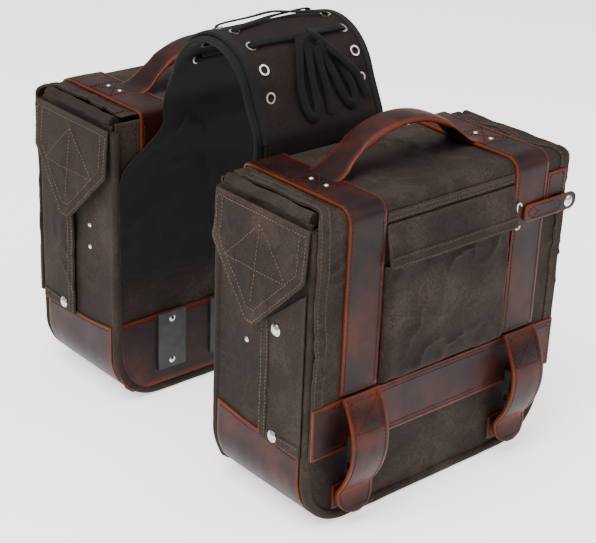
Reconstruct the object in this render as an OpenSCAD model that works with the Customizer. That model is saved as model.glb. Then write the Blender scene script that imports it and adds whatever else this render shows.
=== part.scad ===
// Motorcycle saddlebag set: two canvas and leather bags and the laced yoke that joins them.
// X runs fore and aft, Y across the motorcycle and +Z up. The origin is on the floor, midway
// between the bags. One bag is drawn in its own frame [x, d, z], where d is the depth measured
// outwards from the bag's inner face, and is placed on either side of the gap.

/* [Bag] */
// Length of one bag, fore and aft
bag_l = 380; // [370:5:400]
// Depth of one bag between its two piped rims
bag_d = 165; // [160:5:175]
// Height of one bag to the top of its lid straps
bag_h = 380; // [375:5:400]
// Radius of a bag's bottom corners
corner_r = 65; // [50:5:70]
// Clear width between the two bags
gap = 190; // [185:5:230]

/* [Lid and straps] */
// Distance of each leather strap from the bag's middle
strap_x = 125; // [120:1:130]
// Width of the leather straps
strap_w = 52; // [45:1:54]
// Thickness of the strap leather
strap_t = 3.5; // [3:0.5:4]
// Height of the bottom edge of the leather band on the lid
band_z = 98; // [95:1:105]
// Width of that leather band
band_w = 62; // [55:1:64]
// Length of a free strap tail
tail_len = 147; // [140:1:150]
// How far a free strap tail bows outwards
tail_bow = 22; // [20:1:26]

/* [Pocket] */
// Width of the front pocket
pocket_w = 192; // [170:2:194]
// Height of the pocket's mouth
pocket_top = 302; // [290:1:303]
// Depth of the pocket at its bottom
pocket_d = 13; // [10:1:14]
// Height of the seam that the pocket's flap hangs from
pocket_seam = 350; // [346:1:354]

/* [Ends] */
// Width of the pointed flap on each end
end_flap_w = 152; // [140:2:156]
// Lean of the pointed flap away from the end
end_flap_lean = 6; // [5:0.5:7]
// Width of the snapped side flap
side_flap_w = 69; // [60:1:70]

/* [Handle] */
// Width of the carrying handle's leather
handle_w = 34; // [30:1:40]
// Height of the handle above the lid
handle_rise = 45; // [40:1:50]

/* [Yoke] */
// Width of the yoke where it crosses over
yoke_w = 176; // [160:2:190]
// Distance of the yoke's middle from the bags' middle
yoke_x = -30; // [-35:1:0]
// Radius of the outer panel at the top of the arch
arch_r = 75; // [74:1:78]
// Height of the top of the arch
arch_top = 493; // [490:1:500]
// Angle between two rows of grommets
row_step = 24; // [22:1:24]

/* [Hidden] */
$fn = 48;

canvas = "#4a4038";
leather = "#5a2a22";
yoke_canvas = "#3b2d2a";
black = "#17181a";
metal = "#c9c9c6";

half_l = bag_l / 2;
rim_r = 6;                       // radius of the piped rims
skin = 2.5;                      // thickness of the base leather
wall = 3;                        // canvas wall with its lining
face_in = 4;                     // how far the canvas faces lie behind the rims
seam_w = 16;                     // seam allowance behind each rim
shell_top = bag_h - 13.5;        // open top edge of the shell
rim_top = bag_h - 20;            // top end of the piped rims
front = bag_d - face_in;         // canvas face of the shell on the outer side
end_x = half_l - skin;           // canvas face of the shell on each end

// The lid is one sheet: a flat top, a bend and a front that hangs outside the shell.
lid_z = bag_h - 8;               // underside of the lid's top
lid_d = bag_d + 1;               // inner side of the lid's front
lid_t = 4;                       // padded canvas of the lid
bend_r = 10;                     // inner radius of the lid's bend
bend_d = lid_d - bend_r;
bend_z = lid_z - bend_r;
lid_hinge_d = 10;                // depth of the line the lid folds on
lid_top_x = half_l - 18;         // half length of the lid's top, between the end rolls
lid_front_x = half_l - 1;        // half length of the lid's front
lid_face = lid_d + lid_t;        // canvas surface of the lid's front
strap_face = lid_face + strap_t; // leather surface of the straps

tail_z = band_z + band_w + 5;    // line the strap tails lift on
tail_d = strap_face + 0.4;
clip_travel = 22;                // travel of the buckle clip out of its housing
buckle_w = 28;
housing_z = [62, 90];            // bottom and top of the buckle housings
buckle_in = strap_face + 0.4;
buckle_out = strap_face + 9.6;

handle_d = 82;                   // depth of the handle's middle
handle_z = lid_z + lid_t + 2;    // axis that the handle leans on
handle_span = strap_x - strap_w / 2 - 2;
handle_t = 6;
handle_arc = (pow(handle_span, 2) + pow(handle_rise, 2)) / (2 * handle_rise);

flap_t = 2.5;                    // canvas flaps on the ends
end_flap_z = bag_h - 18;         // line the pointed flaps hang from
end_flap_x = half_l + 0.8;
end_flap_d = bag_d / 2 + 1.5;    // depth of the pointed flap's middle
end_flap_side = 58;              // straight side of the pointed flap
end_flap_tip = 128;              // from the hanging line to the tip
side_flap_x = half_l + 0.6;
side_flap_d = bag_d - 8;         // line the side flaps are sewn on
side_flap_low = 95;
concho_d = 112;                  // depth of the conchos on the side flaps
concho_z = [103, 233];
concho_r = 7.5;
rivet_d = 58;                    // depth of the rivets on the ends
rivet_z = [198, 227];
strap_rivet_d = [82, 106];

tab_pivot = [half_l - 3, 312];   // snap that the hook tab turns on: x and z
tab_reach = 73;                  // from the snap to the tab's hooked end
tab_w = 21;

strip_w = 42;                    // nylon mounting strips on the inner faces
strip_xs = [-106, -24, 24, 106];
strip_z = [32, 110];
screw_z = [42, 100];

arch_z = arch_top - arch_r;      // centre height of the yoke's arch
yoke_t = 4.4;
panel_gap = 1.2;
inner_r = arch_r - yoke_t - panel_gap;
leg_angle = 75;                  // where the arch turns into its straight legs
leg_y = gap / 2 - 2;             // outside of the outer panel where it reaches the bags
leg_z = bag_h + 15;
pad_y = gap / 2 - 0.5;           // outside of the pads sewn to the bags
pad_low = 163;
pad_top = 291;
pad_x = half_l - 5;
grommet_xs = [yoke_x - 67, yoke_x + 67];
grommet_r = 4.5;
rows = [for (k = [-3:3]) -6 + k * row_step]; // angle of each grommet row, from the near side over
lace_r = 2;

// ---------- placing ----------

// Puts a bag-frame shape on the right (-Y) or left (+Y) side.
module bag_side(right) {
    if (right) translate([0, -gap / 2, 0]) mirror([0, 1, 0]) children();
    else translate([0, gap / 2, 0]) children();
}

module both_bags() {
    bag_side(true) children();
    bag_side(false) children();
}

// Puts a shape drawn for the front end on the front (-X) or the rear (+X) end.
module bag_end(at_front) {
    if (at_front) children();
    else mirror([1, 0, 0]) children();
}

module both_ends() {
    bag_end(true) children();
    bag_end(false) children();
}

// Runs a section drawn in depth and height along the bag from x0 to x1.
module run_x(x0, x1) translate([x0, 0, 0]) rotate([90, 0, 90]) linear_extrude(x1 - x0) children();

// Turns a shape that points up so that it points out of the front end.
module out_of_end(d, z, x) translate([-x, d, z]) rotate([0, -90, 0]) children();

// Turns a shape that points up so that it points outwards from the bag.
module outwards(x, d, z) translate([x, d, z]) rotate([-90, 0, 0]) children();

// ---------- shared shapes ----------

// Outline of a bag seen from the side, shrunk by inset and cut off at top.
module outline(inset, top) {
    w = half_l - inset;
    flat = half_l - corner_r;
    intersection() {
        translate([-w, inset]) square([2 * w, top - inset]);
        union() {
            translate([-w, corner_r]) square([2 * w, bag_h]);
            translate([-flat, inset]) square([2 * flat, corner_r - inset + 1]);
            for (s = [-1, 1]) translate([s * flat, corner_r]) circle(corner_r - inset);
        }
    }
}

module slab(inset, top, d0, d1) translate([0, d1, 0]) rotate([90, 0, 0]) linear_extrude(d1 - d0) outline(inset, top);

// One piped rim: up both ends and round the bottom.
module rim(d, r, top) {
    flat = half_l - corner_r;
    for (s = [-1, 1]) {
        translate([s * (half_l - rim_r), d, corner_r]) cylinder(r = r, h = top - corner_r);
        translate([s * flat, d, corner_r]) rotate([90, 0, 0]) rotate([0, 0, s > 0 ? -90 : 180])
            rotate_extrude(angle = 90) translate([corner_r - rim_r, 0]) circle(r);
    }
    translate([-flat, d, rim_r]) rotate([0, 90, 0]) cylinder(r = r, h = 2 * flat);
}

// Section of everything under the lid's surface, raised by t.
module under_lid(t) {
    square([bend_d, lid_z + t]);
    square([lid_d + t, bend_z]);
    translate([bend_d, bend_z]) circle(bend_r + t);
}

// Section of one layer of the lid, between t0 and t1 above the lid's underside.
module lid_layer(t0, t1, d_in, z_low) intersection() {
    difference() {
        under_lid(t1);
        under_lid(t0);
    }
    translate([d_in, z_low]) square(bag_h);
}

// A domed disc that stands on the XY plane.
module dome(r, h) {
    ball = (r * r + h * h) / (2 * h);
    translate([0, 0, h - ball]) intersection() {
        sphere(ball);
        translate([-r, -r, ball - h]) cube([2 * r, 2 * r, h + 1]);
    }
}

// ---------- bag body ----------

module shell() color(canvas) {
    difference() {
        union() {
            slab(skin, shell_top, face_in, front);
            translate([-lid_top_x, face_in, shell_top - 5]) cube([2 * lid_top_x, 5.5, lid_z - 0.4 - shell_top + 5]);
        }
        slab(skin + wall, bag_h, seam_w, bag_d - seam_w);
        slab(seam_w, shell_top - 5.1, face_in + wall, front - wall);
        translate([seam_w - half_l, 9.6, shell_top - 20]) cube([bag_l - 2 * seam_w, front - wall - 9.6, 60]);
        rim(rim_r, rim_r, bag_h);
        rim(bag_d - rim_r, rim_r, bag_h);
        both_ends() for (z = rivet_z) out_of_end(rivet_d, z, end_x - wall - 2) cylinder(r = 1.6, h = 10);
    }
    both_ends() translate([7 - end_x, 14, lid_z - 3]) rotate([-90, 0, 0]) cylinder(r = 7, h = bag_d - 29);
}

module liner() color(black) difference() {
    slab(seam_w + 0.4, shell_top - 6, face_in + wall + 0.4, front - wall - 0.4);
    slab(seam_w + 1.6, bag_h, face_in + wall + 1.6, front - wall - 1.6);
}

module base_board() color(black) translate([corner_r - half_l + 5, seam_w + 2, skin + wall + 0.3]) cube([bag_l - 2 * corner_r - 10, bag_d - 2 * seam_w - 4, 2.5]);

module base_leather() color(leather) {
    intersection() {
        difference() {
            slab(0, 110, 2 * rim_r, bag_d - 2 * rim_r);
            slab(skin, 111, 0, bag_d);
        }
        run_x(-half_l - 1, half_l + 1)
            polygon([[0, -1], [bag_d, -1], [bag_d, 93], [100, 97], [60, 99], [0, 106]]);
    }
    slab(2 * rim_r, 110, face_in - 2.4, face_in);
}

module rim_piping() color(canvas) {
    rim(rim_r, rim_r, rim_top);
    rim(bag_d - rim_r, rim_r, rim_top);
}

module end_rivet() color(metal) {
    cylinder(r = 1.6, h = wall);
    translate([0, 0, wall]) dome(3.2, 1.6);
    translate([0, 0, -1]) cylinder(r = 4, h = 1);
}

module snap_stud() color(metal) {
    cylinder(r = 5, h = 0.5);
    cylinder(r = 2.6, h = 1.5);
}

module buckle_anchor() color(leather) {
    translate([-22, front, 18]) cube([44, 3, 30]);
    run_x(-12, 12) polygon([
        [front + 3, 24], [front + 5, 24], [front + 6.5, 46], [buckle_in + 5, housing_z[0] - 2],
        [buckle_in + 5, housing_z[0]], [buckle_in + 1, housing_z[0]], [front + 4.5, 48], [front + 3, 30]
    ]);
}

module buckle_housing() color(black) difference() {
    translate([-buckle_w / 2, buckle_in, housing_z[0]])
        cube([buckle_w, buckle_out - buckle_in, housing_z[1] - housing_z[0]]);
    translate([-11, buckle_in + 2, housing_z[0] + 8]) cube([22, 5.4, 40]);
    for (s = [-1, 1]) translate([s * 12 - 4, buckle_in + 2, housing_z[0] + 12]) cube([8, 5.4, 9]);
}

module buckle_clip() color(black) {
    difference() {
        translate([-buckle_w / 2, buckle_in + 0.6, housing_z[1] + 0.4])
            cube([buckle_w, buckle_out - buckle_in - 1.2, 25]);
        translate([-11, buckle_in - 1, housing_z[1] + 14]) cube([22, 20, 6]);
    }
    for (x = [-8, 0, 8]) translate([x - 2, buckle_in + 2.4, housing_z[0] + 11]) cube([4, 4.6, 18]);
}

module mounting_strip() color(black) difference() {
    translate([-strip_w / 2, face_in - 5.4, strip_z[0]]) cube([strip_w, 3, strip_z[1] - strip_z[0]]);
    for (z = screw_z) outwards(0, face_in - 6, z) cylinder(r = 2, h = 4);
}

module strip_screw() color(metal) {
    outwards(0, face_in - 5.4, 0) cylinder(r = 2, h = 3);
    translate([0, face_in - 5.4, 0]) rotate([90, 0, 0]) dome(4.5, 1.8);
}

// ---------- lid ----------

module lid() color(canvas) difference() {
    union() {
        run_x(-lid_top_x, lid_top_x) lid_layer(0, lid_t, lid_hinge_d + 0.2, bend_z);
        run_x(-lid_front_x, lid_front_x) lid_layer(0, lid_t, bend_d, band_z);
    }
    strap_rivet_places() cylinder(r = 1.6, h = 20, center = true);
}

module lid_band() color(leather) translate([-lid_front_x, lid_face, band_z]) cube([2 * lid_front_x, 3, band_w]);

module lid_straps() color(leather) difference() {
    for (s = [-1, 1])
        run_x(s * strap_x - strap_w / 2, s * strap_x + strap_w / 2)
            lid_layer(lid_t, lid_t + strap_t, lid_hinge_d + 1, tail_z + 0.5);
    strap_rivet_places() cylinder(r = 1.6, h = 20, center = true);
}

module strap_rivet_places()
    for (s = [-1, 1], d = strap_rivet_d) translate([s * strap_x, d, lid_z + lid_t + strap_t]) children();

module strap_rivets() color(metal) strap_rivet_places() {
    translate([0, 0, -lid_t - strap_t]) cylinder(r = 1.6, h = lid_t + strap_t);
    dome(3.2, 1.4);
    translate([0, 0, -lid_t - strap_t - 0.8]) cylinder(r = 4, h = 0.8);
}

// Centre line of a strap tail: a wide bow, then a tip that turns out again.
function tail_point(u) = let (drop = u * tail_len, bow_end = 0.8 * tail_len)
    drop < bow_end
        ? [tail_d + strap_t / 2 + tail_bow * pow(max(0, sin(180 * drop / bow_end)), 0.8), tail_z - drop]
        : [tail_d + strap_t / 2 + 6 * (1 - cos(90 * (drop - bow_end) / (tail_len - bow_end))), tail_z - drop];

module strap_tail() color(leather) {
    steps = 30;
    mid = [for (k = [0:steps]) tail_point(k / steps)];
    run_x(-strap_w / 2, strap_w / 2) polygon([
        for (k = [0:steps]) mid[k] - [strap_t / 2, 0],
        for (k = [steps:-1:0]) mid[k] + [strap_t / 2, 0]
    ]);
}

module pocket() color(canvas) {
    low = band_z + band_w + 2;
    difference() {
        run_x(-pocket_w / 2, pocket_w / 2) polygon([
            [lid_face, low], [lid_face + pocket_d, low + 3], [lid_face + pocket_d, 250],
            [lid_face + 9.5, pocket_top], [lid_face, pocket_top]
        ]);
        run_x(-pocket_w / 2 + 2, pocket_w / 2 - 2) polygon([
            [lid_face + 1.5, low + 4], [lid_face + pocket_d - 2, low + 6], [lid_face + pocket_d - 2, 250],
            [lid_face + 7.5, pocket_top + 1], [lid_face + 1.5, pocket_top + 1]
        ]);
    }
}

module pocket_flap() color(canvas) run_x(-pocket_w / 2 - 1, pocket_w / 2 + 1) polygon([
    [lid_face + 0.4, pocket_seam], [lid_face + 11, pocket_top + 2], [lid_face + 11, pocket_top],
    [lid_face + 13, pocket_top], [lid_face + 13, pocket_top + 3], [lid_face + 2.4, pocket_seam]
]);

// A bent wire catch: an upright with a curl at each end and two short legs into the pocket's edge.
module wire_hook() color(metal) {
    wire = 1.2;
    hook_d = strap_face + 2;
    for (z = [300, 324]) translate([pocket_w / 2 + 8, hook_d, z]) rotate([90, 0, 0])
        rotate([0, 0, z > 312 ? 0 : 180]) rotate_extrude(angle = 180) translate([3.5, 0]) circle(wire);
    translate([pocket_w / 2 + 4.5, hook_d, 300]) cylinder(r = wire, h = 24);
    for (z = [306, 318]) translate([pocket_w / 2 + 0.5, hook_d, z]) rotate([0, 90, 0]) cylinder(r = wire, h = 4.2);
    for (z = [306, 318]) translate([pocket_w / 2 + 1.7, lid_face, z]) rotate([-90, 0, 0])
        cylinder(r = wire, h = hook_d - lid_face);
}

module corner_patch() color(leather) {
    translate([strap_x + strap_w / 2 + 1, lid_face, 298]) cube([half_l - strap_x - strap_w / 2 - 8, 3, 54]);
    outwards(tab_pivot[0], lid_face, tab_pivot[1]) cylinder(r = 2, h = 3.7);
    outwards(tab_pivot[0] - 1.5, lid_face, tab_pivot[1]) cylinder(r = 5, h = 3);
}

// The handle is an arched strap, narrowed towards its ends so that it can lean over.
module handle() color(leather) intersection() {
    translate([0, handle_d, handle_z + handle_rise - handle_arc]) rotate([90, 0, 0]) difference() {
        cylinder(r = handle_arc + handle_t / 2, h = handle_w, center = true, $fn = 128);
        cylinder(r = handle_arc - handle_t / 2, h = handle_w + 1, center = true, $fn = 128);
    }
    run_x(-handle_span, handle_span) translate([handle_d, handle_z]) polygon([
        [-1.5, 0], [1.5, 0], [handle_w / 2, 28], [handle_w / 2, 60], [-handle_w / 2, 60], [-handle_w / 2, 28]
    ]);
}

module hook_tab() color(leather) {
    difference() {
        translate([tab_pivot[0] - tab_reach, strap_face + 0.5, tab_pivot[1] - tab_w / 2])
            cube([tab_reach + 13, 3, tab_w]);
        outwards(tab_pivot[0], strap_face, tab_pivot[1]) cylinder(r = 2.5, h = 10);
    }
}

module tab_concho() color(metal) {
    outwards(tab_pivot[0], strap_face + 3.5, tab_pivot[1]) dome(concho_r, 3);
    outwards(tab_pivot[0], strap_face + 0.5, tab_pivot[1]) cylinder(r = 2.5, h = 3);
}

// ---------- ends ----------

// Pointed flap, hanging from its top edge and leaning outwards, on the front end.
module end_flap() color(canvas) translate([-end_flap_x, end_flap_d, end_flap_z]) rotate([0, end_flap_lean, 0])
    translate([-flap_t, 0, 0]) rotate([90, 0, 90]) linear_extrude(flap_t) polygon([
        [-end_flap_w / 2, 0], [end_flap_w / 2, 0], [end_flap_w / 2, -end_flap_side],
        [8, -end_flap_tip], [-8, -end_flap_tip], [-end_flap_w / 2, -end_flap_side]
    ]);

// Flap sewn along its outer edge, cut off below the pointed flap, on the front end.
module side_flap() color(canvas) difference() {
    translate([-side_flap_x - flap_t, 0, 0]) rotate([90, 0, 90]) linear_extrude(flap_t) polygon([
        [side_flap_d - side_flap_w, side_flap_low], [side_flap_d, side_flap_low],
        [side_flap_d, end_flap_z - end_flap_side - 18],
        [side_flap_d - side_flap_w, end_flap_z - end_flap_tip - 5]
    ]);
    for (z = concho_z) out_of_end(concho_d, z, side_flap_x - 1) cylinder(r = 1.8, h = flap_t + 2);
}

module side_conchos() color(metal) for (z = concho_z) out_of_end(concho_d, z, side_flap_x) {
    cylinder(r = 1.8, h = flap_t);
    translate([0, 0, flap_t]) dome(concho_r, 3);
    translate([0, 0, -0.9]) difference() {
        cylinder(r = 4.6, h = 0.9);
        translate([0, 0, -1]) cylinder(r = 3.2, h = 1.5);
    }
}

// ---------- yoke ----------

// Half outline of the arch at a radius: round over the top, then a straight leg out to the bag. A
// foot above leg_z ends on the leg's slope.
function arch_half(r, y_low, z_low, side) =
    let (y_arc = r * sin(leg_angle), z_arc = arch_z + r * cos(leg_angle)) concat(
        [for (a = [0:5:leg_angle]) [side * r * sin(a), arch_z + r * cos(a)]],
        z_low < leg_z ? [[side * y_low, leg_z], [side * y_low, z_low]]
            : [[side * (y_arc + (y_low - y_arc) * (z_arc - z_low) / (z_arc - leg_z)), z_low]]
    );

function reversed(list) = [for (k = [len(list) - 1:-1:0]) list[k]];

// Arch outline from the foot on side -1 over the top to the foot on side +1.
function arch_line(r, y_low, z_near, z_far) = concat(
    reversed(arch_half(r, y_low, z_near, -1)),
    [for (k = [1:len(arch_half(r, y_low, z_far, 1)) - 1]) arch_half(r, y_low, z_far, 1)[k]]
);

module arch_band(r_out, z_near, z_far) polygon(concat(
    arch_line(r_out, leg_y - (arch_r - r_out), z_near, z_far),
    reversed(arch_line(r_out - yoke_t, leg_y - (arch_r - r_out) - yoke_t, z_near, z_far))
));

// Plate that lies on a bag's inner face, with shoulders that run up into the strap part.
module pad(side) {
    x0 = yoke_x - yoke_w / 2;
    x1 = yoke_x + yoke_w / 2;
    y0 = side > 0 ? pad_y - yoke_t : -pad_y;
    translate([0, y0 + yoke_t, 0]) rotate([90, 0, 0]) linear_extrude(yoke_t) union() {
        translate([-pad_x, pad_low + 20]) square([2 * pad_x, pad_top - pad_low - 20]);
        translate([20 - pad_x, pad_low]) square([2 * pad_x - 40, 40]);
        for (s = [-1, 1]) translate([s * (pad_x - 20), pad_low + 20]) circle(20);
        polygon([[-pad_x, pad_top], [-pad_x + 15, pad_top + 22], [x0, leg_z - 30], [x1, leg_z - 30],
            [pad_x - 15, pad_top + 22], [pad_x, pad_top]]);
    }
}

module grommet_places(r) for (x = grommet_xs, a = rows)
    translate([x, 0, arch_z]) rotate([-a, 0, 0]) translate([0, 0, r]) children();

module yoke_holes() grommet_places(inner_r - 20) cylinder(r = grommet_r + 2.1, h = 60);

module outer_yoke() color(yoke_canvas) {
    difference() {
        run_x(yoke_x - yoke_w / 2, yoke_x + yoke_w / 2) arch_band(arch_r, leg_z - 40, leg_z + 8);
        yoke_holes();
    }
    pad(-1);
}

module inner_yoke() color(yoke_canvas) {
    difference() {
        run_x(yoke_x - yoke_w / 2 - 8, yoke_x + yoke_w / 2 - 8) arch_band(inner_r, 330, leg_z - 40);
        yoke_holes();
    }
    pad(1);
}

// Folded tape along the front and rear edge of the outer panel's arch.
module yoke_bindings() color(black) for (x = [yoke_x - yoke_w / 2 - 2.5, yoke_x + yoke_w / 2])
    run_x(x, x + 2.5) arch_band(arch_r, leg_z - 28, leg_z + 8);

module grommet(thick) difference() {
    translate([0, 0, -0.5]) cylinder(r = grommet_r + 2, h = thick + 1.3);
    translate([0, 0, -2]) cylinder(r = grommet_r, h = thick + 5);
}

module yoke_grommets() color(metal) {
    grommet_places(arch_r - yoke_t) grommet(yoke_t);
    grommet_places(inner_r) mirror([0, 0, 1]) grommet(yoke_t);
}

// Route of the lace: x, angle over the arch and height above the outer panel, or below the inner one.
lace_out = arch_r + 3.2;
lace_in = inner_r - yoke_t - 3.2;
leg_top = arch_r * [sin(leg_angle), cos(leg_angle)];
leg_way = unit([leg_y, leg_z - arch_z] - leg_top);
function over(x, a, r) = abs(a) <= leg_angle ? [x, r * sin(a), arch_z + r * cos(a)]
    : let (p = leg_top + leg_way * arch_r * PI * (abs(a) - leg_angle) / 180 + (r - arch_r) * [-leg_way[1], leg_way[0]])
        [x, sign(a) * p[0], arch_z + p[1]];
function threads(x, a, outward) = outward
    ? [over(x, a, lace_in), over(x, a, (lace_in + lace_out) / 2), over(x, a, lace_out)]
    : [over(x, a, lace_out), over(x, a, (lace_in + lace_out) / 2), over(x, a, lace_in)];
function crossing(x0, a0, x1, a1, lift) = [for (t = [0.3, 0.5, 0.7])
    over(x0 + (x1 - x0) * t, a0 + (a1 - a0) * t, lace_out + (t == 0.5 ? lift : lift / 2))];

knot = [yoke_x + 4, rows[2] - 2];
front_x = grommet_xs[0];
rear_x = grommet_xs[1];
front_loop = [for (p = [[-10, -8, 6], [-20, -22, 3], [-30, -46, 1.5], [-30, -66, 1], [-22, -78, 1],
    [-13, -66, 1], [-12, -46, 1.5], [-7, -16, 7]])
    over(knot[0] + p[0], knot[1] + p[1] + 6, lace_out + p[2])];
rear_loop = [for (p = [[10, -8, 6], [24, -22, 3], [38, -46, 1.5], [44, -62, 1], [37, -74, 1],
    [27, -62, 1], [20, -44, 1.5], [9, -16, 7]])
    over(knot[0] + p[0], knot[1] + p[1] + 6, lace_out + p[2])];
front_tail = [for (p = [[2, -20, 8], [4, -40, 2], [6, -60, 1], [4, -76, 1]])
    over(knot[0] + p[0], knot[1] + p[1] + 6, lace_out + p[2])];
rear_tail = [for (p = [[16, -22, 10], [34, -34, 7], [54, -48, 2], [62, -68, 1]])
    over(knot[0] + p[0], knot[1] + p[1] + 6, lace_out + p[2])];

function lace_half(x0, x1, lift) = concat(
    threads(x0, rows[2], false), threads(x0, rows[3], true),
    crossing(x0, rows[3], x1, rows[4], lift),
    threads(x1, rows[4], false), threads(x1, rows[5], true),
    crossing(x1, rows[5], x0, rows[6], lift)
);
lace_route = concat(
    [over(knot[0] - 3, knot[1], lace_out + 3), over((front_x + knot[0]) / 2, rows[2], lace_out + 1)],
    lace_half(front_x, rear_x, 1),
    threads(front_x, rows[6], false), [over(yoke_x, rows[6], lace_in)], threads(rear_x, rows[6], true),
    reversed(lace_half(rear_x, front_x, 6)),
    [over((rear_x + knot[0]) / 2, rows[2], lace_out + 1), over(knot[0] + 3, knot[1], lace_out + 8)]
);

// Tube of eight sides swept along a list of points.
function unit(v) = v / norm(v);
function tangent(p, k) = unit(p[min(k + 1, len(p) - 1)] - p[max(k - 1, 0)]);
function side_of(t) = unit(abs(t[0]) > 0.9 ? cross(t, [0, 1, 0.3]) : cross(t, [1, 0, 0]));
function carried(t, s) = unit(s - t * (s * t));
function sides_along(p, k, s) = k >= len(p) ? []
    : let (n = carried(tangent(p, k), s)) concat([n], sides_along(p, k + 1, n));
module tube(p, r) {
    n = 8;
    s = sides_along(p, 0, side_of(tangent(p, 0)));
    rings = [for (k = [0:len(p) - 1]) let (u = s[k], v = cross(tangent(p, k), u))
        for (j = [0:n - 1]) p[k] + r * (u * cos(360 * j / n) + v * sin(360 * j / n))];
    last = (len(p) - 1) * n;
    polyhedron(rings, concat(
        [[for (j = [0:n - 1]) j]],
        [for (k = [0:len(p) - 2], j = [0:n - 1])
            [k * n + j, (k + 1) * n + j, (k + 1) * n + (j + 1) % n, k * n + (j + 1) % n]],
        [[for (j = [n - 1:-1:0]) last + j]]
    ));
}

module yoke_lace() color(black) {
    tube(lace_route, lace_r);
    tube(front_loop, lace_r);
    tube(rear_loop, lace_r);
    tube(front_tail, lace_r);
    tube(rear_tail, lace_r);
}

// ---------- nodes ----------

bag_side(true) shell();  // right_shell
bag_side(false) shell();  // left_shell
both_bags() liner();  // liners
both_bags() base_board();  // base_boards
both_bags() base_leather();  // base_leathers
both_bags() rim_piping();  // rim_pipings
both_bags() both_ends() for (z = rivet_z) out_of_end(rivet_d, z, end_x - wall) end_rivet();  // end_rivets
both_bags() both_ends() for (z = concho_z) out_of_end(concho_d, z, end_x) snap_stud();  // snap_studs
both_bags() for (s = [-1, 1]) translate([s * strap_x, 0, 0]) buckle_anchor();  // buckle_anchors
both_bags() for (s = [-1, 1]) translate([s * strap_x, 0, 0]) buckle_housing();  // buckle_housings
both_bags() for (x = strip_xs) translate([x, 0, 0]) mounting_strip();  // mounting_strips
both_bags() for (x = strip_xs, z = screw_z) translate([x, 0, z]) strip_screw();  // strip_screws
inner_yoke();
outer_yoke();
yoke_bindings();
yoke_grommets();
yoke_lace();
bag_side(true) lid();  // right_lid
bag_side(true) lid_band();  // right_lid_band
bag_side(true) lid_straps();  // right_lid_straps
bag_side(true) strap_rivets();  // right_strap_rivets
bag_side(true) pocket();  // right_pocket
bag_side(true) pocket_flap();  // right_pocket_flap
bag_side(true) wire_hook();  // right_wire_hook
bag_side(true) corner_patch();  // right_corner_patch
bag_side(true) handle();  // right_handle
bag_side(true) hook_tab();  // right_hook_tab
bag_side(true) tab_concho();  // right_tab_concho
bag_side(true) translate([-strap_x, 0, 0]) strap_tail();  // right_front_strap_tail
bag_side(true) translate([-strap_x, 0, 0]) buckle_clip();  // right_front_buckle_clip
bag_side(true) bag_end(true) end_flap();  // right_front_end_flap
bag_side(true) bag_end(true) side_flap();  // right_front_side_flap
bag_side(true) bag_end(true) side_conchos();  // right_front_conchos
bag_side(true) translate([strap_x, 0, 0]) strap_tail();  // right_rear_strap_tail
bag_side(true) translate([strap_x, 0, 0]) buckle_clip();  // right_rear_buckle_clip
bag_side(true) bag_end(false) end_flap();  // right_rear_end_flap
bag_side(true) bag_end(false) side_flap();  // right_rear_side_flap
bag_side(true) bag_end(false) side_conchos();  // right_rear_conchos
bag_side(false) lid();  // left_lid
bag_side(false) lid_band();  // left_lid_band
bag_side(false) lid_straps();  // left_lid_straps
bag_side(false) strap_rivets();  // left_strap_rivets
bag_side(false) pocket();  // left_pocket
bag_side(false) pocket_flap();  // left_pocket_flap
bag_side(false) wire_hook();  // left_wire_hook
bag_side(false) corner_patch();  // left_corner_patch
bag_side(false) handle();  // left_handle
bag_side(false) hook_tab();  // left_hook_tab
bag_side(false) tab_concho();  // left_tab_concho
bag_side(false) translate([-strap_x, 0, 0]) strap_tail();  // left_front_strap_tail
bag_side(false) translate([-strap_x, 0, 0]) buckle_clip();  // left_front_buckle_clip
bag_side(false) bag_end(true) end_flap();  // left_front_end_flap
bag_side(false) bag_end(true) side_flap();  // left_front_side_flap
bag_side(false) bag_end(true) side_conchos();  // left_front_conchos
bag_side(false) translate([strap_x, 0, 0]) strap_tail();  // left_rear_strap_tail
bag_side(false) translate([strap_x, 0, 0]) buckle_clip();  // left_rear_buckle_clip
bag_side(false) bag_end(false) end_flap();  // left_rear_end_flap
bag_side(false) bag_end(false) side_flap();  // left_rear_side_flap
bag_side(false) bag_end(false) side_conchos();  // left_rear_conchos
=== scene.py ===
# %% [markdown]
# A throw-over saddlebag set: two canvas and leather bags and the laced yoke between them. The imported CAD
# model is the fixed frame. Everything soft is rebuilt here around it: each panel of cloth or leather is one
# grid that is laid on a surface function, given its thickness by modifiers, and then sewn.

# %% Frame and camera
import math
import bpy
import numpy as np
from mathutils import Matrix, Vector


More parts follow.
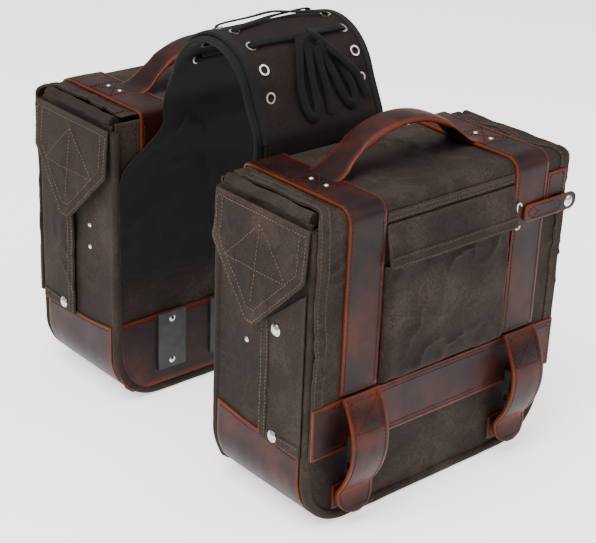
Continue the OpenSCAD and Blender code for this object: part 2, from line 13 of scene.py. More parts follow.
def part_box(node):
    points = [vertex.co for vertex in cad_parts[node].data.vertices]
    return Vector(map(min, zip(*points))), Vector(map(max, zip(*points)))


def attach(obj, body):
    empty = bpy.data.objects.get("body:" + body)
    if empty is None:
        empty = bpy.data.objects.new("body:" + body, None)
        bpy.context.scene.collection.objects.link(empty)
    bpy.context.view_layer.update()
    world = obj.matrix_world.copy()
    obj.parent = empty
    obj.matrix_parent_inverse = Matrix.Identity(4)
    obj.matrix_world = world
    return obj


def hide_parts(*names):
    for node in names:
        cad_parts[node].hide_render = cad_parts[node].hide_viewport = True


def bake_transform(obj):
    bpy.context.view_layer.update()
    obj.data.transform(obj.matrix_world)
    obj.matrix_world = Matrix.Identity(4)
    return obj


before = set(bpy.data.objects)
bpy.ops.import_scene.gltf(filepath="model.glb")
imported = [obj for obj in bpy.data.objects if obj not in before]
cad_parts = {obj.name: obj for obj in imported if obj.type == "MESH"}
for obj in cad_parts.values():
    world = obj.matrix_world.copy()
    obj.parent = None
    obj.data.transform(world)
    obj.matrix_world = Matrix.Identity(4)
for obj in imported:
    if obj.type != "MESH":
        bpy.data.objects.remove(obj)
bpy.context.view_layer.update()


def look_from(azimuth, elevation, roll, distance, target):
    """Returns where a camera stands and how it is turned, for angles in degrees."""
    a, e = math.radians(azimuth), math.radians(elevation)
    back = Vector((math.sin(a) * math.cos(e), -math.cos(a) * math.cos(e), math.sin(e)))
    right = Vector((math.cos(a), math.sin(a), 0))
    up = back.cross(right)
    r = math.radians(roll)
    right, up = math.cos(r) * right + math.sin(r) * up, math.cos(r) * up - math.sin(r) * right
    turn = Matrix((right, up, back)).transposed().to_4x4()
    return Matrix.Translation(Vector(target) + back * distance) @ turn


camera_data = bpy.data.cameras.new("camera")
camera_data.lens = 93.06
camera_data.sensor_width = 36
camera = bpy.data.objects.new("camera", camera_data)
camera.matrix_world = look_from(-41.43, 24.74, 2.33, 1.916, (0.018, 0, 0.166))
bpy.context.scene.collection.objects.link(camera)
bpy.context.scene.camera = camera

# %% [markdown]
# Sizes come from the frame. One bag is described in its own frame: x along the bag, d outwards from its inner
# face and z up. Side -1 is the right bag and +1 the left one, end -1 is the front and +1 the rear.

# %% Sizes
MM = 0.001
rims_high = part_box("rim_pipings")[1]
shell_low, shell_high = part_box("left_shell")
HALF_L = rims_high.x
FACE_IN = 4 * MM
INNER_Y = shell_low.y - FACE_IN
BAG_D = rims_high.y - INNER_Y
CORNER_R = 65 * MM
RIM_R = 6 * MM
RIM_TOP = rims_high.z
FRONT = shell_high.y - INNER_Y
lid_low, lid_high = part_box("left_lid")
LID_Z = lid_high.z
LID_D = lid_high.y - INNER_Y
LID_R = 14 * MM
LID_TOP_X = HALF_L - 18 * MM
LID_FRONT_X = lid_high.x
BAND_Z = lid_low.z
BAND_W = 62 * MM
STRAP_T = 3.5 * MM
strap_low, strap_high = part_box("left_rear_strap_tail")
STRAP_X = (strap_low.x + strap_high.x) / 2
STRAP_W = strap_high.x - strap_low.x
TAIL_Z = strap_high.z
TAIL_LEN = strap_high.z - strap_low.z
SIDES = {"right": -1, "left": 1}
ENDS = {"front": -1, "rear": 1}
print("bag length, depth, height:", 2 * HALF_L, BAG_D, LID_Z)

# %% [markdown]
# Materials first: one helper adds a node with its settings and links, and one turns a hex colour to linear.


# %% Node helpers
def linear(hex_colour):
    """sRGB hex to the linear RGBA that a shader socket takes."""
    parts = [int(hex_colour[k:k + 2], 16) / 255 for k in (1, 3, 5)]
    return [c / 12.92 if c <= 0.04045 else ((c + 0.055) / 1.055) ** 2.4 for c in parts] + [1]


def set_stops(elements, stops):
    """Gives a colour ramp its list of (position, hex colour)."""
    while len(elements) < len(stops):
        elements.new(0.5)
    for element, (position, colour) in zip(elements, stops):
        element.position = position
        element.color = linear(colour)


def add(tree, kind, settings=None, **links):
    """Adds a node. Settings are its attributes, or a ramp's stops. Links are its inputs by name, or by number as
    i_0, and each takes a socket, a value or a hex colour."""
    node = tree.nodes.new("ShaderNode" + kind)
    for key, value in (settings or {}).items():
        if key == "stops":
            set_stops(node.color_ramp.elements, value)
        else:
            setattr(node, key, value)
    for key, value in links.items():
        name = key.replace("_", " ")
        socket = node.inputs[int(key[2:])] if key.startswith("i_") else node.inputs[name]
        if isinstance(value, bpy.types.NodeSocket):
            tree.links.new(value, socket)
        else:
            socket.default_value = linear(value) if isinstance(value, str) else value
    return node


def new_material(name):
    """An empty node material with a Principled shader."""
    material = bpy.data.materials.new(name)
    material.use_nodes = True
    tree = material.node_tree
    shader = next(n for n in tree.nodes if n.type == "BSDF_PRINCIPLED")
    return material, tree, shader


# %% [markdown]
# Waxed cotton canvas: a plain weave of thick threads, brushed with wax. The wax makes it matt and mottled, and
# where the cloth has been folded the wax cracks and leaves pale lines. The weave here is drawn at 1.3 mm, about
# twice the real thread, so that it still shows.


# %% Waxed canvas
def waxed_canvas(name, dark, middle, pale, crease=0.35):
    material, tree, shader = new_material(name)
    where = add(tree, "TexCoord").outputs["Object"]
    cloth = add(tree, "UVMap").outputs["UV"]
    warp = add(tree, "TexWave", {"bands_direction": "X"}, Vector=cloth, Scale=240.0, Distortion=0.6, Detail=1.0)
    weft = add(tree, "TexWave", {"bands_direction": "Y"}, Vector=cloth, Scale=240.0, Distortion=0.6, Detail=1.0)
    weave = add(tree, "Math", {"operation": "MAXIMUM"}, i_0=warp.outputs["Fac"], i_1=weft.outputs["Fac"]).outputs[0]
    blotch = add(tree, "TexNoise", Vector=where, Scale=14.0, Detail=5.0, Roughness=0.62).outputs["Fac"]
    speck = add(tree, "TexNoise", Vector=where, Scale=420.0, Detail=3.0, Roughness=0.7).outputs["Fac"]
    bend = add(tree, "TexNoise", Vector=where, Scale=9.0, Detail=3.0).outputs["Color"]
    bent = add(tree, "VectorMath", {"operation": "MULTIPLY_ADD"}, i_0=bend, i_1=(0.07, 0.07, 0.07), i_2=where)
    cracks = add(tree, "TexVoronoi", {"feature": "DISTANCE_TO_EDGE"}, Vector=bent.outputs[0], Scale=11.0)
    line = add(tree, "MapRange", Value=cracks.outputs["Distance"], From_Min=0.0, From_Max=0.035, To_Min=1.0,
               To_Max=0.0)
    squared = add(tree, "Math", {"operation": "MULTIPLY"}, i_0=blotch, i_1=blotch).outputs[0]
    patchy = add(tree, "Math", {"operation": "MULTIPLY"}, i_0=line.outputs[0], i_1=squared).outputs[0]
    scratch_space = add(tree, "Mapping", Vector=where, Scale=(30.0, 30.0, 260.0), Rotation=(0.5, 0.9, 0.3))
    scratch = add(tree, "TexNoise", Vector=scratch_space.outputs[0], Scale=1.0, Detail=2.0).outputs["Fac"]
    scratch = add(tree, "MapRange", Value=scratch, From_Min=0.66, From_Max=0.74).outputs[0]
    tone = add(tree, "ValToRGB", {"stops": [(0.25, dark), (0.5, middle), (0.85, pale)]}, Fac=blotch).outputs["Color"]
    share = add(tree, "Math", {"operation": "MULTIPLY", "use_clamp": True}, i_0=patchy, i_1=crease).outputs[0]
    tone = add(tree, "Mix", {"data_type": "RGBA"}, i_0=share, i_6=tone, i_7=pale).outputs[2]
    share = add(tree, "Math", {"operation": "MULTIPLY"}, i_0=scratch, i_1=0.16).outputs[0]
    tone = add(tree, "Mix", {"data_type": "RGBA"}, i_0=share, i_6=tone, i_7=pale).outputs[2]
    worn = add(tree, "Attribute", {"attribute_name": "edge"}).outputs["Fac"]
    broken = add(tree, "Math", {"operation": "ADD"}, i_0=speck, i_1=0.15).outputs[0]
    worn = add(tree, "Math", {"operation": "MULTIPLY", "use_clamp": True}, i_0=worn, i_1=broken).outputs[0]
    share = add(tree, "Math", {"operation": "MULTIPLY"}, i_0=worn, i_1=0.4).outputs[0]
    tone = add(tree, "Mix", {"data_type": "RGBA"}, i_0=share, i_6=tone, i_7=pale).outputs[2]
    grain = add(tree, "ValToRGB", {"stops": [(0.34, "#343434"), (0.66, "#c8c8c8")]}, Fac=speck).outputs["Color"]
    grained = {"data_type": "RGBA", "blend_type": "OVERLAY"}
    tone = add(tree, "Mix", grained, i_0=0.6, i_6=tone, i_7=grain).outputs[2]
    tree.links.new(tone, shader.inputs["Base Color"])
    rough = add(tree, "MapRange", Value=blotch, To_Min=0.62, To_Max=0.86).outputs[0]
    tree.links.new(rough, shader.inputs["Roughness"])
    shader.inputs["Specular IOR Level"].default_value = 0.14
    threads_high = add(tree, "Math", {"operation": "MULTIPLY"}, i_0=weave, i_1=0.35).outputs[0]
    specks_high = add(tree, "Math", {"operation": "MULTIPLY"}, i_0=speck, i_1=0.5).outputs[0]
    cracks_deep = add(tree, "Math", {"operation": "MULTIPLY"}, i_0=patchy, i_1=0.9).outputs[0]
    relief = add(tree, "Math", {"operation": "ADD"}, i_0=threads_high, i_1=specks_high).outputs[0]
    relief = add(tree, "Math", {"operation": "SUBTRACT"}, i_0=relief, i_1=cracks_deep).outputs[0]
    bump = add(tree, "Bump", Height=relief, Strength=0.5, Distance=0.0006)
    tree.links.new(bump.outputs[0], shader.inputs["Normal"])
    return material


# %% [markdown]
# Oiled pull-up leather: dark red-brown, with oil that moves away where the hide is bent, so that folds and edges
# turn a lighter orange. On the strap tails that lighter orange at the bends is also a painted highlight where the
# bow faces the light. Its cut edges are burnished and stay bright. Grain is pebbled, under a millimetre.


# %% Oiled leather
def oiled_leather(name, dark, middle, warm, edge_colour):
    material, tree, shader = new_material(name)
    where = add(tree, "TexCoord").outputs["Object"]
    cloud = add(tree, "TexNoise", Vector=where, Scale=17.0, Detail=6.0, Roughness=0.6).outputs["Fac"]
    smear = add(tree, "Mapping", Vector=where, Scale=(60.0, 60.0, 18.0))
    streak = add(tree, "TexNoise", Vector=smear.outputs[0], Scale=1.0, Detail=4.0).outputs["Fac"]
    grain = add(tree, "TexVoronoi", {"feature": "F1"}, Vector=where, Scale=1300.0).outputs["Distance"]
    pores = add(tree, "TexNoise", Vector=where, Scale=700.0, Detail=3.0).outputs["Fac"]
    tone = add(tree, "ValToRGB", {"stops": [(0.34, dark), (0.5, middle), (0.7, warm)]}, Fac=cloud).outputs["Color"]
    share = add(tree, "Math", {"operation": "MULTIPLY"}, i_0=streak, i_1=0.45).outputs[0]
    tone = add(tree, "Mix", {"data_type": "RGBA"}, i_0=share, i_6=tone, i_7=dark).outputs[2]
    # The edge attribute is edge wear, and on the strap tails it also holds a painted highlight on the bends.
    worn = add(tree, "Attribute", {"attribute_name": "edge"}).outputs["Fac"]
    broken = add(tree, "Math", {"operation": "ADD"}, i_0=cloud, i_1=0.1).outputs[0]
    worn = add(tree, "Math", {"operation": "MULTIPLY", "use_clamp": True}, i_0=worn, i_1=broken).outputs[0]
    tone = add(tree, "Mix", {"data_type": "RGBA"}, i_0=worn, i_6=tone, i_7=edge_colour).outputs[2]
    pitted = add(tree, "ValToRGB", {"stops": [(0.3, "#4a4a4a"), (0.7, "#b8b8b8")]}, Fac=pores).outputs["Color"]
    grained = {"data_type": "RGBA", "blend_type": "OVERLAY"}
    tone = add(tree, "Mix", grained, i_0=0.4, i_6=tone, i_7=pitted).outputs[2]
    tree.links.new(tone, shader.inputs["Base Color"])
    rough = add(tree, "MapRange", Value=streak, To_Min=0.32, To_Max=0.62).outputs[0]
    tree.links.new(rough, shader.inputs["Roughness"])
    shader.inputs["Specular IOR Level"].default_value = 0.10
    shader.inputs["Coat Weight"].default_value = 0.12
    shader.inputs["Coat Roughness"].default_value = 0.28
    grain_high = add(tree, "Math", {"operation": "MULTIPLY"}, i_0=grain, i_1=0.7).outputs[0]
    cloud_high = add(tree, "Math", {"operation": "MULTIPLY"}, i_0=cloud, i_1=1.5).outputs[0]
    relief = add(tree, "Math", {"operation": "ADD"}, i_0=grain_high, i_1=cloud_high).outputs[0]
    bump = add(tree, "Bump", Height=relief, Strength=0.45, Distance=0.0005)
    tree.links.new(bump.outputs[0], shader.inputs["Normal"])
    return material


# %% [markdown]
# The small finishes: thread, tape and lace are woven nylon or cotton; buckles are moulded acetal; caps and
# rivets are nickel-plated brass, polished and a little scratched.


# %% Small finishes
def woven(name, dark, light, spacing, rough=0.8, sheen=0.0):
    """Tape, lining and lace: ribs at the given spacing in metres across the cloth's own UV."""
    material, tree, shader = new_material(name)
    where = add(tree, "TexCoord").outputs["Object"]
    cloth = add(tree, "UVMap").outputs["UV"]
    ribs = add(tree, "TexWave", {"bands_direction": "DIAGONAL"}, Vector=cloth, Scale=0.314 / spacing, Distortion=0.8)
    fuzz = add(tree, "TexNoise", Vector=where, Scale=600.0, Detail=3.0).outputs["Fac"]
    cloud = add(tree, "TexNoise", Vector=where, Scale=25.0, Detail=4.0).outputs["Fac"]
    patchy = add(tree, "Math", {"operation": "ADD"}, i_0=cloud, i_1=0.4).outputs[0]
    both = add(tree, "Math", {"operation": "MULTIPLY", "use_clamp": True}, i_0=fuzz, i_1=patchy).outputs[0]
    tree.links.new(add(tree, "ValToRGB", {"stops": [(0.2, dark), (0.75, light)]}, Fac=both).outputs["Color"],
        shader.inputs["Base Color"])
    shader.inputs["Roughness"].default_value = rough
    shader.inputs["Sheen Weight"].default_value = sheen
    shader.inputs["Specular IOR Level"].default_value = 0.14
    relief = add(tree, "Math", {"operation": "ADD"}, i_0=ribs.outputs["Fac"], i_1=fuzz).outputs[0]
    bump = add(tree, "Bump", Height=relief, Strength=0.5, Distance=0.0004)
    tree.links.new(bump.outputs[0], shader.inputs["Normal"])
    return material


def moulded(name, colour, rough):
    """Moulded black plastic with a fine spark-eroded grain."""
    material, tree, shader = new_material(name)
    where = add(tree, "TexCoord").outputs["Object"]
    grain = add(tree, "TexNoise", Vector=where, Scale=900.0, Detail=2.0).outputs["Fac"]
    wear = add(tree, "TexNoise", Vector=where, Scale=60.0, Detail=4.0).outputs["Fac"]
    tree.links.new(add(tree, "ValToRGB", {"stops": [(0.4, colour), (0.8, "#2a2b2d")]}, Fac=wear).outputs["Color"],
        shader.inputs["Base Color"])
    shader.inputs["Roughness"].default_value = rough
    bump = add(tree, "Bump", Height=grain, Strength=0.3, Distance=0.0002)
    tree.links.new(bump.outputs[0], shader.inputs["Normal"])
    return material


def plated(name, colour, rough):
    """Nickel plate: bright, with fine scratches that catch the light."""
    material, tree, shader = new_material(name)
    where = add(tree, "TexCoord").outputs["Object"]
    stretched = add(tree, "Mapping", Vector=where, Scale=(2500.0, 300.0, 900.0), Rotation=(0.4, 0.2, 0.7))
    scratch = add(tree, "TexNoise", Vector=stretched.outputs[0], Scale=1.0, Detail=3.0).outputs["Fac"]
    cloud = add(tree, "TexNoise", Vector=where, Scale=250.0, Detail=3.0).outputs["Fac"]
    tree.links.new(add(tree, "ValToRGB", {"stops": [(0.3, "#8d8a84"), (0.6, colour)]}, Fac=cloud).outputs["Color"],
        shader.inputs["Base Color"])
    shader.inputs["Metallic"].default_value = 1.0
    tree.links.new(add(tree, "MapRange", Value=cloud, To_Min=rough, To_Max=rough + 0.2).outputs[0],
                   shader.inputs["Roughness"])
    bump = add(tree, "Bump", Height=scratch, Strength=0.25, Distance=0.0002)
    tree.links.new(bump.outputs[0], shader.inputs["Normal"])
    return material


canvas = waxed_canvas("waxed_cotton_canvas", "#1b1511", "#281f1a", "#463a31", 0.5)
canvas_flap = waxed_canvas("waxed_canvas_flap", "#1d1713", "#2a211c", "#46392f", 0.3)
yoke_canvas = waxed_canvas("brown_yoke_canvas", "#110b09", "#1a120f", "#281c18", 0.08)
leather = oiled_leather("oiled_leather", "#100403", "#280e08", "#491a0c", "#6e2c10")
leather_edge = oiled_leather("burnished_edge", "#38150a", "#5c240e", "#7c3613", "#6e2f12")
lining = woven("black_nylon_lining", "#070707", "#121213", 0.0011, 0.75, 0.02)
binding = woven("black_binding_tape", "#080808", "#161617", 0.0016, 0.85, 0.03)
lace_cloth = woven("black_cotton_lace", "#050505", "#101011", 0.0018, 0.9, 0.03)
thread_tan = woven("tan_thread", "#4a392d", "#7f6650", 0.0006)
thread_red = woven("wine_thread", "#2e0e0b", "#63261a", 0.0006)
thread_grey = woven("brown_thread", "#3c3029", "#5d4d40", 0.0006)
plastic = moulded("moulded_buckle_acetal", "#0c0c0d", 0.38)
nylon = moulded("black_nylon_strip", "#101112", 0.6)
nickel = plated("nickel_plate", "#d2cfc8", 0.16)

# %% [markdown]
# Every soft piece is cut like the real one, as a flat sheet, and then laid on a surface: `place(u, v)` gives the
# point for each place on the cut. A grid primitive is the start, so the cloth keeps square UVs in metres, and
# Solidify and Bevel give it the thickness and rounded edge of real cloth or leather.


# %% Sheets
def deselect():
    bpy.ops.object.select_all(action="DESELECT")


def active(obj):
    deselect()
    obj.select_set(True)
    bpy.context.view_layer.objects.active = obj


def apply_modifier(obj, kind, **settings):
    """Adds a modifier, sets it and applies it."""
    active(obj)
    modifier = obj.modifiers.new(kind.lower(), kind)
    for key, value in settings.items():
        setattr(modifier, key, value)
    bpy.ops.object.modifier_apply(modifier=modifier.name)


def bag_point(side, x, d, z):
    """Points of one bag's own frame, in the shared frame."""
    x, d, z = np.broadcast_arrays(x, d, z)
    return np.stack([x, SIDES[side] * (INNER_Y + d), z], axis=-1)


class Sheet:
    """A cut of cloth or leather: place(u, v) gives points, size is its width and length in metres."""

    def __init__(self, place, size, outward):
        self.place, self.size = place, size
        self.outward = outward if callable(outward) else np.array(outward, float)

    def at(self, u, v, lift=0.0):
        """Points on the sheet, lifted outwards along its normal."""
        u, v = np.broadcast_arrays(np.asarray(u, float), np.asarray(v, float))
        step = 1e-3
        point = self.place(u, v)
        across = self.place(np.minimum(u + step, 1), v) - self.place(np.maximum(u - step, 0), v)
        along = self.place(u, np.minimum(v + step, 1)) - self.place(u, np.maximum(v - step, 0))
        normal = np.cross(across, along)
        normal /= np.linalg.norm(normal, axis=-1, keepdims=True) + 1e-12
        middle = self.place(np.array([0.5, 0.5]), np.array([0.5, 0.52]))
        side = self.outward(middle[0]) if callable(self.outward) else self.outward
        mid_across = self.place(np.array([0.51]), np.array([0.5]))[0] - self.place(np.array([0.49]),
                                                                                   np.array([0.5]))[0]
        if np.dot(np.cross(mid_across, middle[1] - middle[0]), side) < 0:
            normal = -normal
        self.normal = normal
        return point + normal * np.asarray(lift)[..., None]

    def part(self, u0, u1, v0, v1, lift=0.0):
        """The sheet between two lines each way, raised by lift."""
        size = (self.size[0] * abs(u1 - u0), self.size[1] * abs(v1 - v0))
        return Sheet(lambda u, v: self.at(u0 + u * (u1 - u0), v0 + v * (v1 - v0), lift), size, self.outward)


def build(name, sheet, cloth, thick, cells=5 * MM, rim=None, bevel=0.0, body="bags", worn=6 * MM,
          bend_wear_and_highlight=None):
    """Makes a sheet's mesh with its thickness inwards, its UV in metres and its worn edges."""
    columns = max(2, int(sheet.size[0] / cells))
    rows = max(2, int(sheet.size[1] / cells))
    deselect()
    bpy.ops.mesh.primitive_grid_add(x_subdivisions=columns, y_subdivisions=rows, size=1, location=(0, 0, 0))
    obj = bpy.context.object
    obj.name = obj.data.name = name
    mesh = obj.data
    flat = np.empty(len(mesh.vertices) * 3)
    mesh.vertices.foreach_get("co", flat)
    flat = flat.reshape(-1, 3)
    u, v = flat[:, 0] + 0.5, flat[:, 1] + 0.5
    edge = np.minimum(np.minimum(u, 1 - u) * sheet.size[0], np.minimum(v, 1 - v) * sheet.size[1])
    points = sheet.at(u, v)
    grid_uv = np.empty(len(mesh.loops) * 2)
    mesh.uv_layers.active.data.foreach_get("uv", grid_uv)
    grid_uv = grid_uv.reshape(-1, 2) * np.array(sheet.size)
    mesh.uv_layers.active.data.foreach_set("uv", grid_uv.ravel())
    attribute = mesh.attributes.new("edge", "FLOAT", "POINT")
    wear = np.clip(1 - edge / worn, 0, 1) if worn else np.zeros(len(edge))
    # Extra lightening on top of edge wear: on the strap tails, bend wear together with a painted highlight.
    if bend_wear_and_highlight:
        wear = np.maximum(wear, bend_wear_and_highlight(u, v))
    attribute.data.foreach_set("value", wear)
    mesh.vertices.foreach_set("co", points.ravel())
    mesh.materials.append(cloth)
    if rim:
        mesh.materials.append(rim)
    mesh.update()
    first = mesh.polygons[len(mesh.polygons) // 2]
    centre = first.vertices[0]
    if np.dot(np.array(first.normal), sheet.normal[centre]) < 0:
        mesh.flip_normals()
    if thick:
        apply_modifier(obj, "SOLIDIFY", thickness=thick, offset=-1, use_even_offset=True,
                       material_offset_rim=1 if rim else 0)
    if bevel:
        apply_modifier(obj, "BEVEL", width=bevel, segments=2, limit_method="ANGLE", angle_limit=math.radians(50))
    active(obj)
    bpy.ops.object.shade_smooth_by_angle(angle=math.radians(40))
    if body:
        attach(obj, body)
    return obj


def leather_piece(name, sheet, thick, cells, bevel, body, bend_wear_and_highlight=None):
    """A cut piece of leather, with its burnished rim and slightly worn edges."""
    return build(name, sheet, leather, thick, cells, leather_edge, bevel, body, 1.5 * MM, bend_wear_and_highlight)

# %% [markdown]
# Waxed cloth is never flat. Long soft waves come from its weight, and short sharp creases from handling. Both
# are sums of plane waves with seeded directions, so that each run of the file makes the same cloth.


# %% Waves and creases
def waves(a, b, seed, size, count=7):
    """Smooth random height from -1 to 1, with waves about size metres long."""
    random = np.random.default_rng(seed)
    total = np.zeros(np.broadcast(a, b).shape)
    for turn, phase, stretch in zip(random.uniform(0, np.pi, count), random.uniform(0, 7, count),
                                    random.uniform(0.6, 1.5, count)):
        total = total + np.sin((np.cos(turn) * a + np.sin(turn) * b) * 2 * np.pi / (size * stretch) + phase)
    return total / (0.75 * count)


def creases(a, b, seed, size):
    """Height from 0 to 1 with narrow ridges, like folds pressed into waxed cloth."""
    bent = waves(a, b, seed, size) + 0.35 * waves(a, b, seed + 50, size * 0.45)
    ridge = np.maximum(0, 1 - 3.2 * np.abs(bent)) ** 2
    return ridge * np.clip(0.5 + 0.8 * waves(a, b, seed + 90, size * 1.6), 0, 1)


def rumple(a, b, seed, wave, crease, size=0.09):
    """Waves and creases together, as a height in metres."""
    return wave * waves(a, b, seed, size) + crease * (creases(a, b, seed + 7, size * 0.8) - 0.2)


def smooth_step(t):
    t = np.clip(t, 0, 1)
    return t * t * (3 - 2 * t)


# %% [markdown]
# Stitching: one stitch is a six-sided grain of thread with pointed ends that dips into the cloth. It is modelled
# once, and its copies are laid along a seam at the pitch of a heavy sewing machine, about 4 mm.


# %% Stitches
deselect()
bpy.ops.mesh.primitive_cylinder_add(vertices=5, radius=0.5, depth=0.6, end_fill_type="TRIFAN",
                                    rotation=(0, math.pi / 2, 0))
bpy.ops.object.transform_apply(rotation=True)
stitch_object = bpy.context.object
for vertex in stitch_object.data.vertices:
    if abs(vertex.co.y) + abs(vertex.co.z) < 0.01:
        vertex.co.x *= 1.66
stitch_points = np.array([vertex.co[:] for vertex in stitch_object.data.vertices])
stitch_faces = [list(face.vertices) for face in stitch_object.data.polygons]
bpy.data.objects.remove(stitch_object)
print("one stitch has", len(stitch_faces), "faces")


def sew(name, tracks, thread, body, pitch=4.4 * MM, wide=1.0 * MM):
    """Lays stitches along tracks, each a pair of point and normal arrays."""
    points, faces = [], []
    for track, normals in tracks:
        lengths = np.concatenate([[0], np.cumsum(np.linalg.norm(np.diff(track, axis=0), axis=1))])
        count = int(lengths[-1] / pitch)
        for k in range(count):
            middle = (k + 0.5) * lengths[-1] / count
            here = np.array([np.interp(middle, lengths, track[:, axis]) for axis in range(3)])
            ahead = np.array([np.interp(middle + 0.4 * pitch, lengths, track[:, axis]) for axis in range(3)])
            along = ahead - here
            along /= np.linalg.norm(along) + 1e-12
            normal = np.array([np.interp(middle, lengths, normals[:, axis]) for axis in range(3)])
            across = np.cross(normal, along)
            across /= np.linalg.norm(across) + 1e-12
            up = np.cross(along, across)
            shape = stitch_points * [pitch * 0.72, wide, wide * 0.8]
            start = len(points)
            points.extend((here + shape @ np.stack([along, across, up])).tolist())
            faces.extend([[start + index for index in face] for face in stitch_faces])
    mesh = bpy.data.meshes.new(name)
    mesh.from_pydata(points, [], faces)
    obj = bpy.data.objects.new(name, mesh)
    bpy.context.scene.collection.objects.link(obj)
    active(obj)
    bpy.ops.object.mode_set(mode="EDIT")
    bpy.ops.mesh.select_all(action="SELECT")
    bpy.ops.mesh.normals_make_consistent(inside=False)
    bpy.ops.uv.smart_project()
    bpy.ops.object.mode_set(mode="OBJECT")
    bpy.ops.object.shade_smooth()
    mesh.materials.append(thread)
    if body:
        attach(obj, body)
    return obj


def seam(sheet, corners, lift=0.3 * MM, samples=40):
    """A track that runs over the sheet through (u, v) corners."""
    u = np.concatenate([np.linspace(a[0], b[0], samples) for a, b in zip(corners, corners[1:])])
    v = np.concatenate([np.linspace(a[1], b[1], samples) for a, b in zip(corners, corners[1:])])
    return sheet.at(u, v, lift), sheet.normal


def border(sheet, inset, sides="ltrb", lift=0.3 * MM):
    """Tracks a fixed distance inside the edges: l and r run along v, t and b run along u."""
    a, b = inset / sheet.size[0], inset / sheet.size[1]
    runs = {"l": [(a, b), (a, 1 - b)], "r": [(1 - a, b), (1 - a, 1 - b)], "t": [(a, 1 - b), (1 - a, 1 - b)],
            "b": [(a, b), (1 - a, b)]}
    return [seam(sheet, runs[side], lift) for side in sides]


# %% [markdown]
# Piping, rolled edges, the handle's grip and the lace are all sweeps: an oval that runs along a path. The oval is
# a sheet too, closed on itself, so that its UV runs along the cord.


# %% Sweeps
def resample(path, count):
    path = np.array(path, float)
    lengths = np.concatenate([[0], np.cumsum(np.linalg.norm(np.diff(path, axis=0), axis=1))])
    wanted = np.linspace(0, lengths[-1], count)
    return np.stack([np.interp(wanted, lengths, path[:, axis]) for axis in range(3)], axis=1), lengths[-1]


def soften(path, rounds=6):
    """Rounds the corners of a path by averaging neighbours."""
    path = np.array(path, float)
    for _ in range(rounds):
        path[1:-1] = (path[:-2] + 2 * path[1:-1] + path[2:]) / 4
    return path


def sweep(name, path, wide, high, cloth, flat_side=(0, 0, 1), around=14, cells=4 * MM, body="bags",
          power=1.0, uneven=0.0, seed=1, worn=0):
    """Runs an oval along a path. wide and high are numbers or functions of the way along, 0 to 1. flat_side is
    the direction of the oval's short axis."""
    rough, length = resample(path, 400)
    rough = soften(rough, 2)
    rows = max(4, int(length / cells))
    points, length = resample(rough, rows + 1)
    tangents = np.gradient(points, axis=0)
    tangents /= np.linalg.norm(tangents, axis=1, keepdims=True) + 1e-12
    short = np.array(flat_side(points) if callable(flat_side) else np.tile(flat_side, (rows + 1, 1)), float)
    short = short - tangents * np.sum(short * tangents, axis=1, keepdims=True)
    short /= np.linalg.norm(short, axis=1, keepdims=True) + 1e-12
    long_way = np.cross(tangents, short)
    turn = np.linspace(0, 2 * np.pi, around + 1)[:-1]
    t = np.linspace(0, 1, rows + 1)
    half_wide = (wide(t) if callable(wide) else np.full(rows + 1, wide)) / 2
    half_high = (high(t) if callable(high) else np.full(rows + 1, high)) / 2
    c, s = np.cos(turn), np.sin(turn)
    a = np.sign(c) * np.abs(c) ** power
    b = np.sign(s) * np.abs(s) ** power
    bulge = 1 + uneven * waves(t[:, None] * length, turn[None, :] * 0.02, seed, 0.03)
    rings = (points[:, None] + long_way[:, None] * (half_wide[:, None] * a * bulge)[..., None]
             + short[:, None] * (half_high[:, None] * b * bulge)[..., None])
    deselect()
    count = (rows + 1) * around
    vertices = rings.reshape(-1, 3).tolist() + [points[0].tolist(), points[-1].tolist()]
    faces, uvs = [], []
    for k in range(rows):
        for j in range(around):
            n = (j + 1) % around
            faces.append([k * around + j, k * around + n, (k + 1) * around + n, (k + 1) * around + j])
            step = np.pi * (half_wide.mean() + half_high.mean()) / around
            uvs += [(j * step, t[k] * length), ((j + 1) * step, t[k] * length), ((j + 1) * step, t[k + 1] * length),
                    (j * step, t[k + 1] * length)]
    for j in range(around):
        n = (j + 1) % around
        faces.append([count, n, j])
        faces.append([count + 1, rows * around + j, rows * around + n])
        uvs += [(0, 0)] * 6
    mesh = bpy.data.meshes.new(name)
    mesh.from_pydata(vertices, [], faces)
    layer = mesh.uv_layers.new(name="UVMap")
    layer.data.foreach_set("uv", np.array(uvs).ravel())
    attribute = mesh.attributes.new("edge", "FLOAT", "POINT")
    side_wear = np.tile(np.clip(np.abs(c) - 0.6, 0, 1) * 2.5 * worn, rows + 1)
    attribute.data.foreach_set("value", np.concatenate([side_wear, [0, 0]]))
    mesh.materials.append(cloth)
    obj = bpy.data.objects.new(name, mesh)
    bpy.context.scene.collection.objects.link(obj)
    active(obj)
    bpy.ops.object.mode_set(mode="EDIT")
    bpy.ops.mesh.select_all(action="SELECT")
    bpy.ops.mesh.normals_make_consistent(inside=False)
    bpy.ops.object.mode_set(mode="OBJECT")
    bpy.ops.object.shade_smooth_by_angle(angle=math.radians(50))
    if body:
        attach(obj, body)
    return obj

# %% [markdown]
# The lace: one flat woven lace pulls the two panels of the yoke together. It runs under the arch, out through the
# eyelets, crosses twice, and is tied in a bow whose loops and ends hang down the strap. It keeps the frame's route,
# in an arc of angles over the yoke, and each stretch is a flat oval swept along it.

# %% Lace
YOKE_X = -30 * MM
ARCH_R = 75 * MM
ARCH_Z = 418 * MM
LEG_Y = 93 * MM
LEG_Z = 395 * MM
INNER_R = ARCH_R - 5.6 * MM
YOKE_T = 4.4 * MM
LEG_ANGLE = math.radians(75)
ROWS = [-78, -54, -30, -6, 18, 42, 66]
leg_top = ARCH_R * np.array([math.sin(LEG_ANGLE), math.cos(LEG_ANGLE)])
leg_way = np.array([LEG_Y, LEG_Z - ARCH_Z]) - leg_top
leg_way /= np.linalg.norm(leg_way)


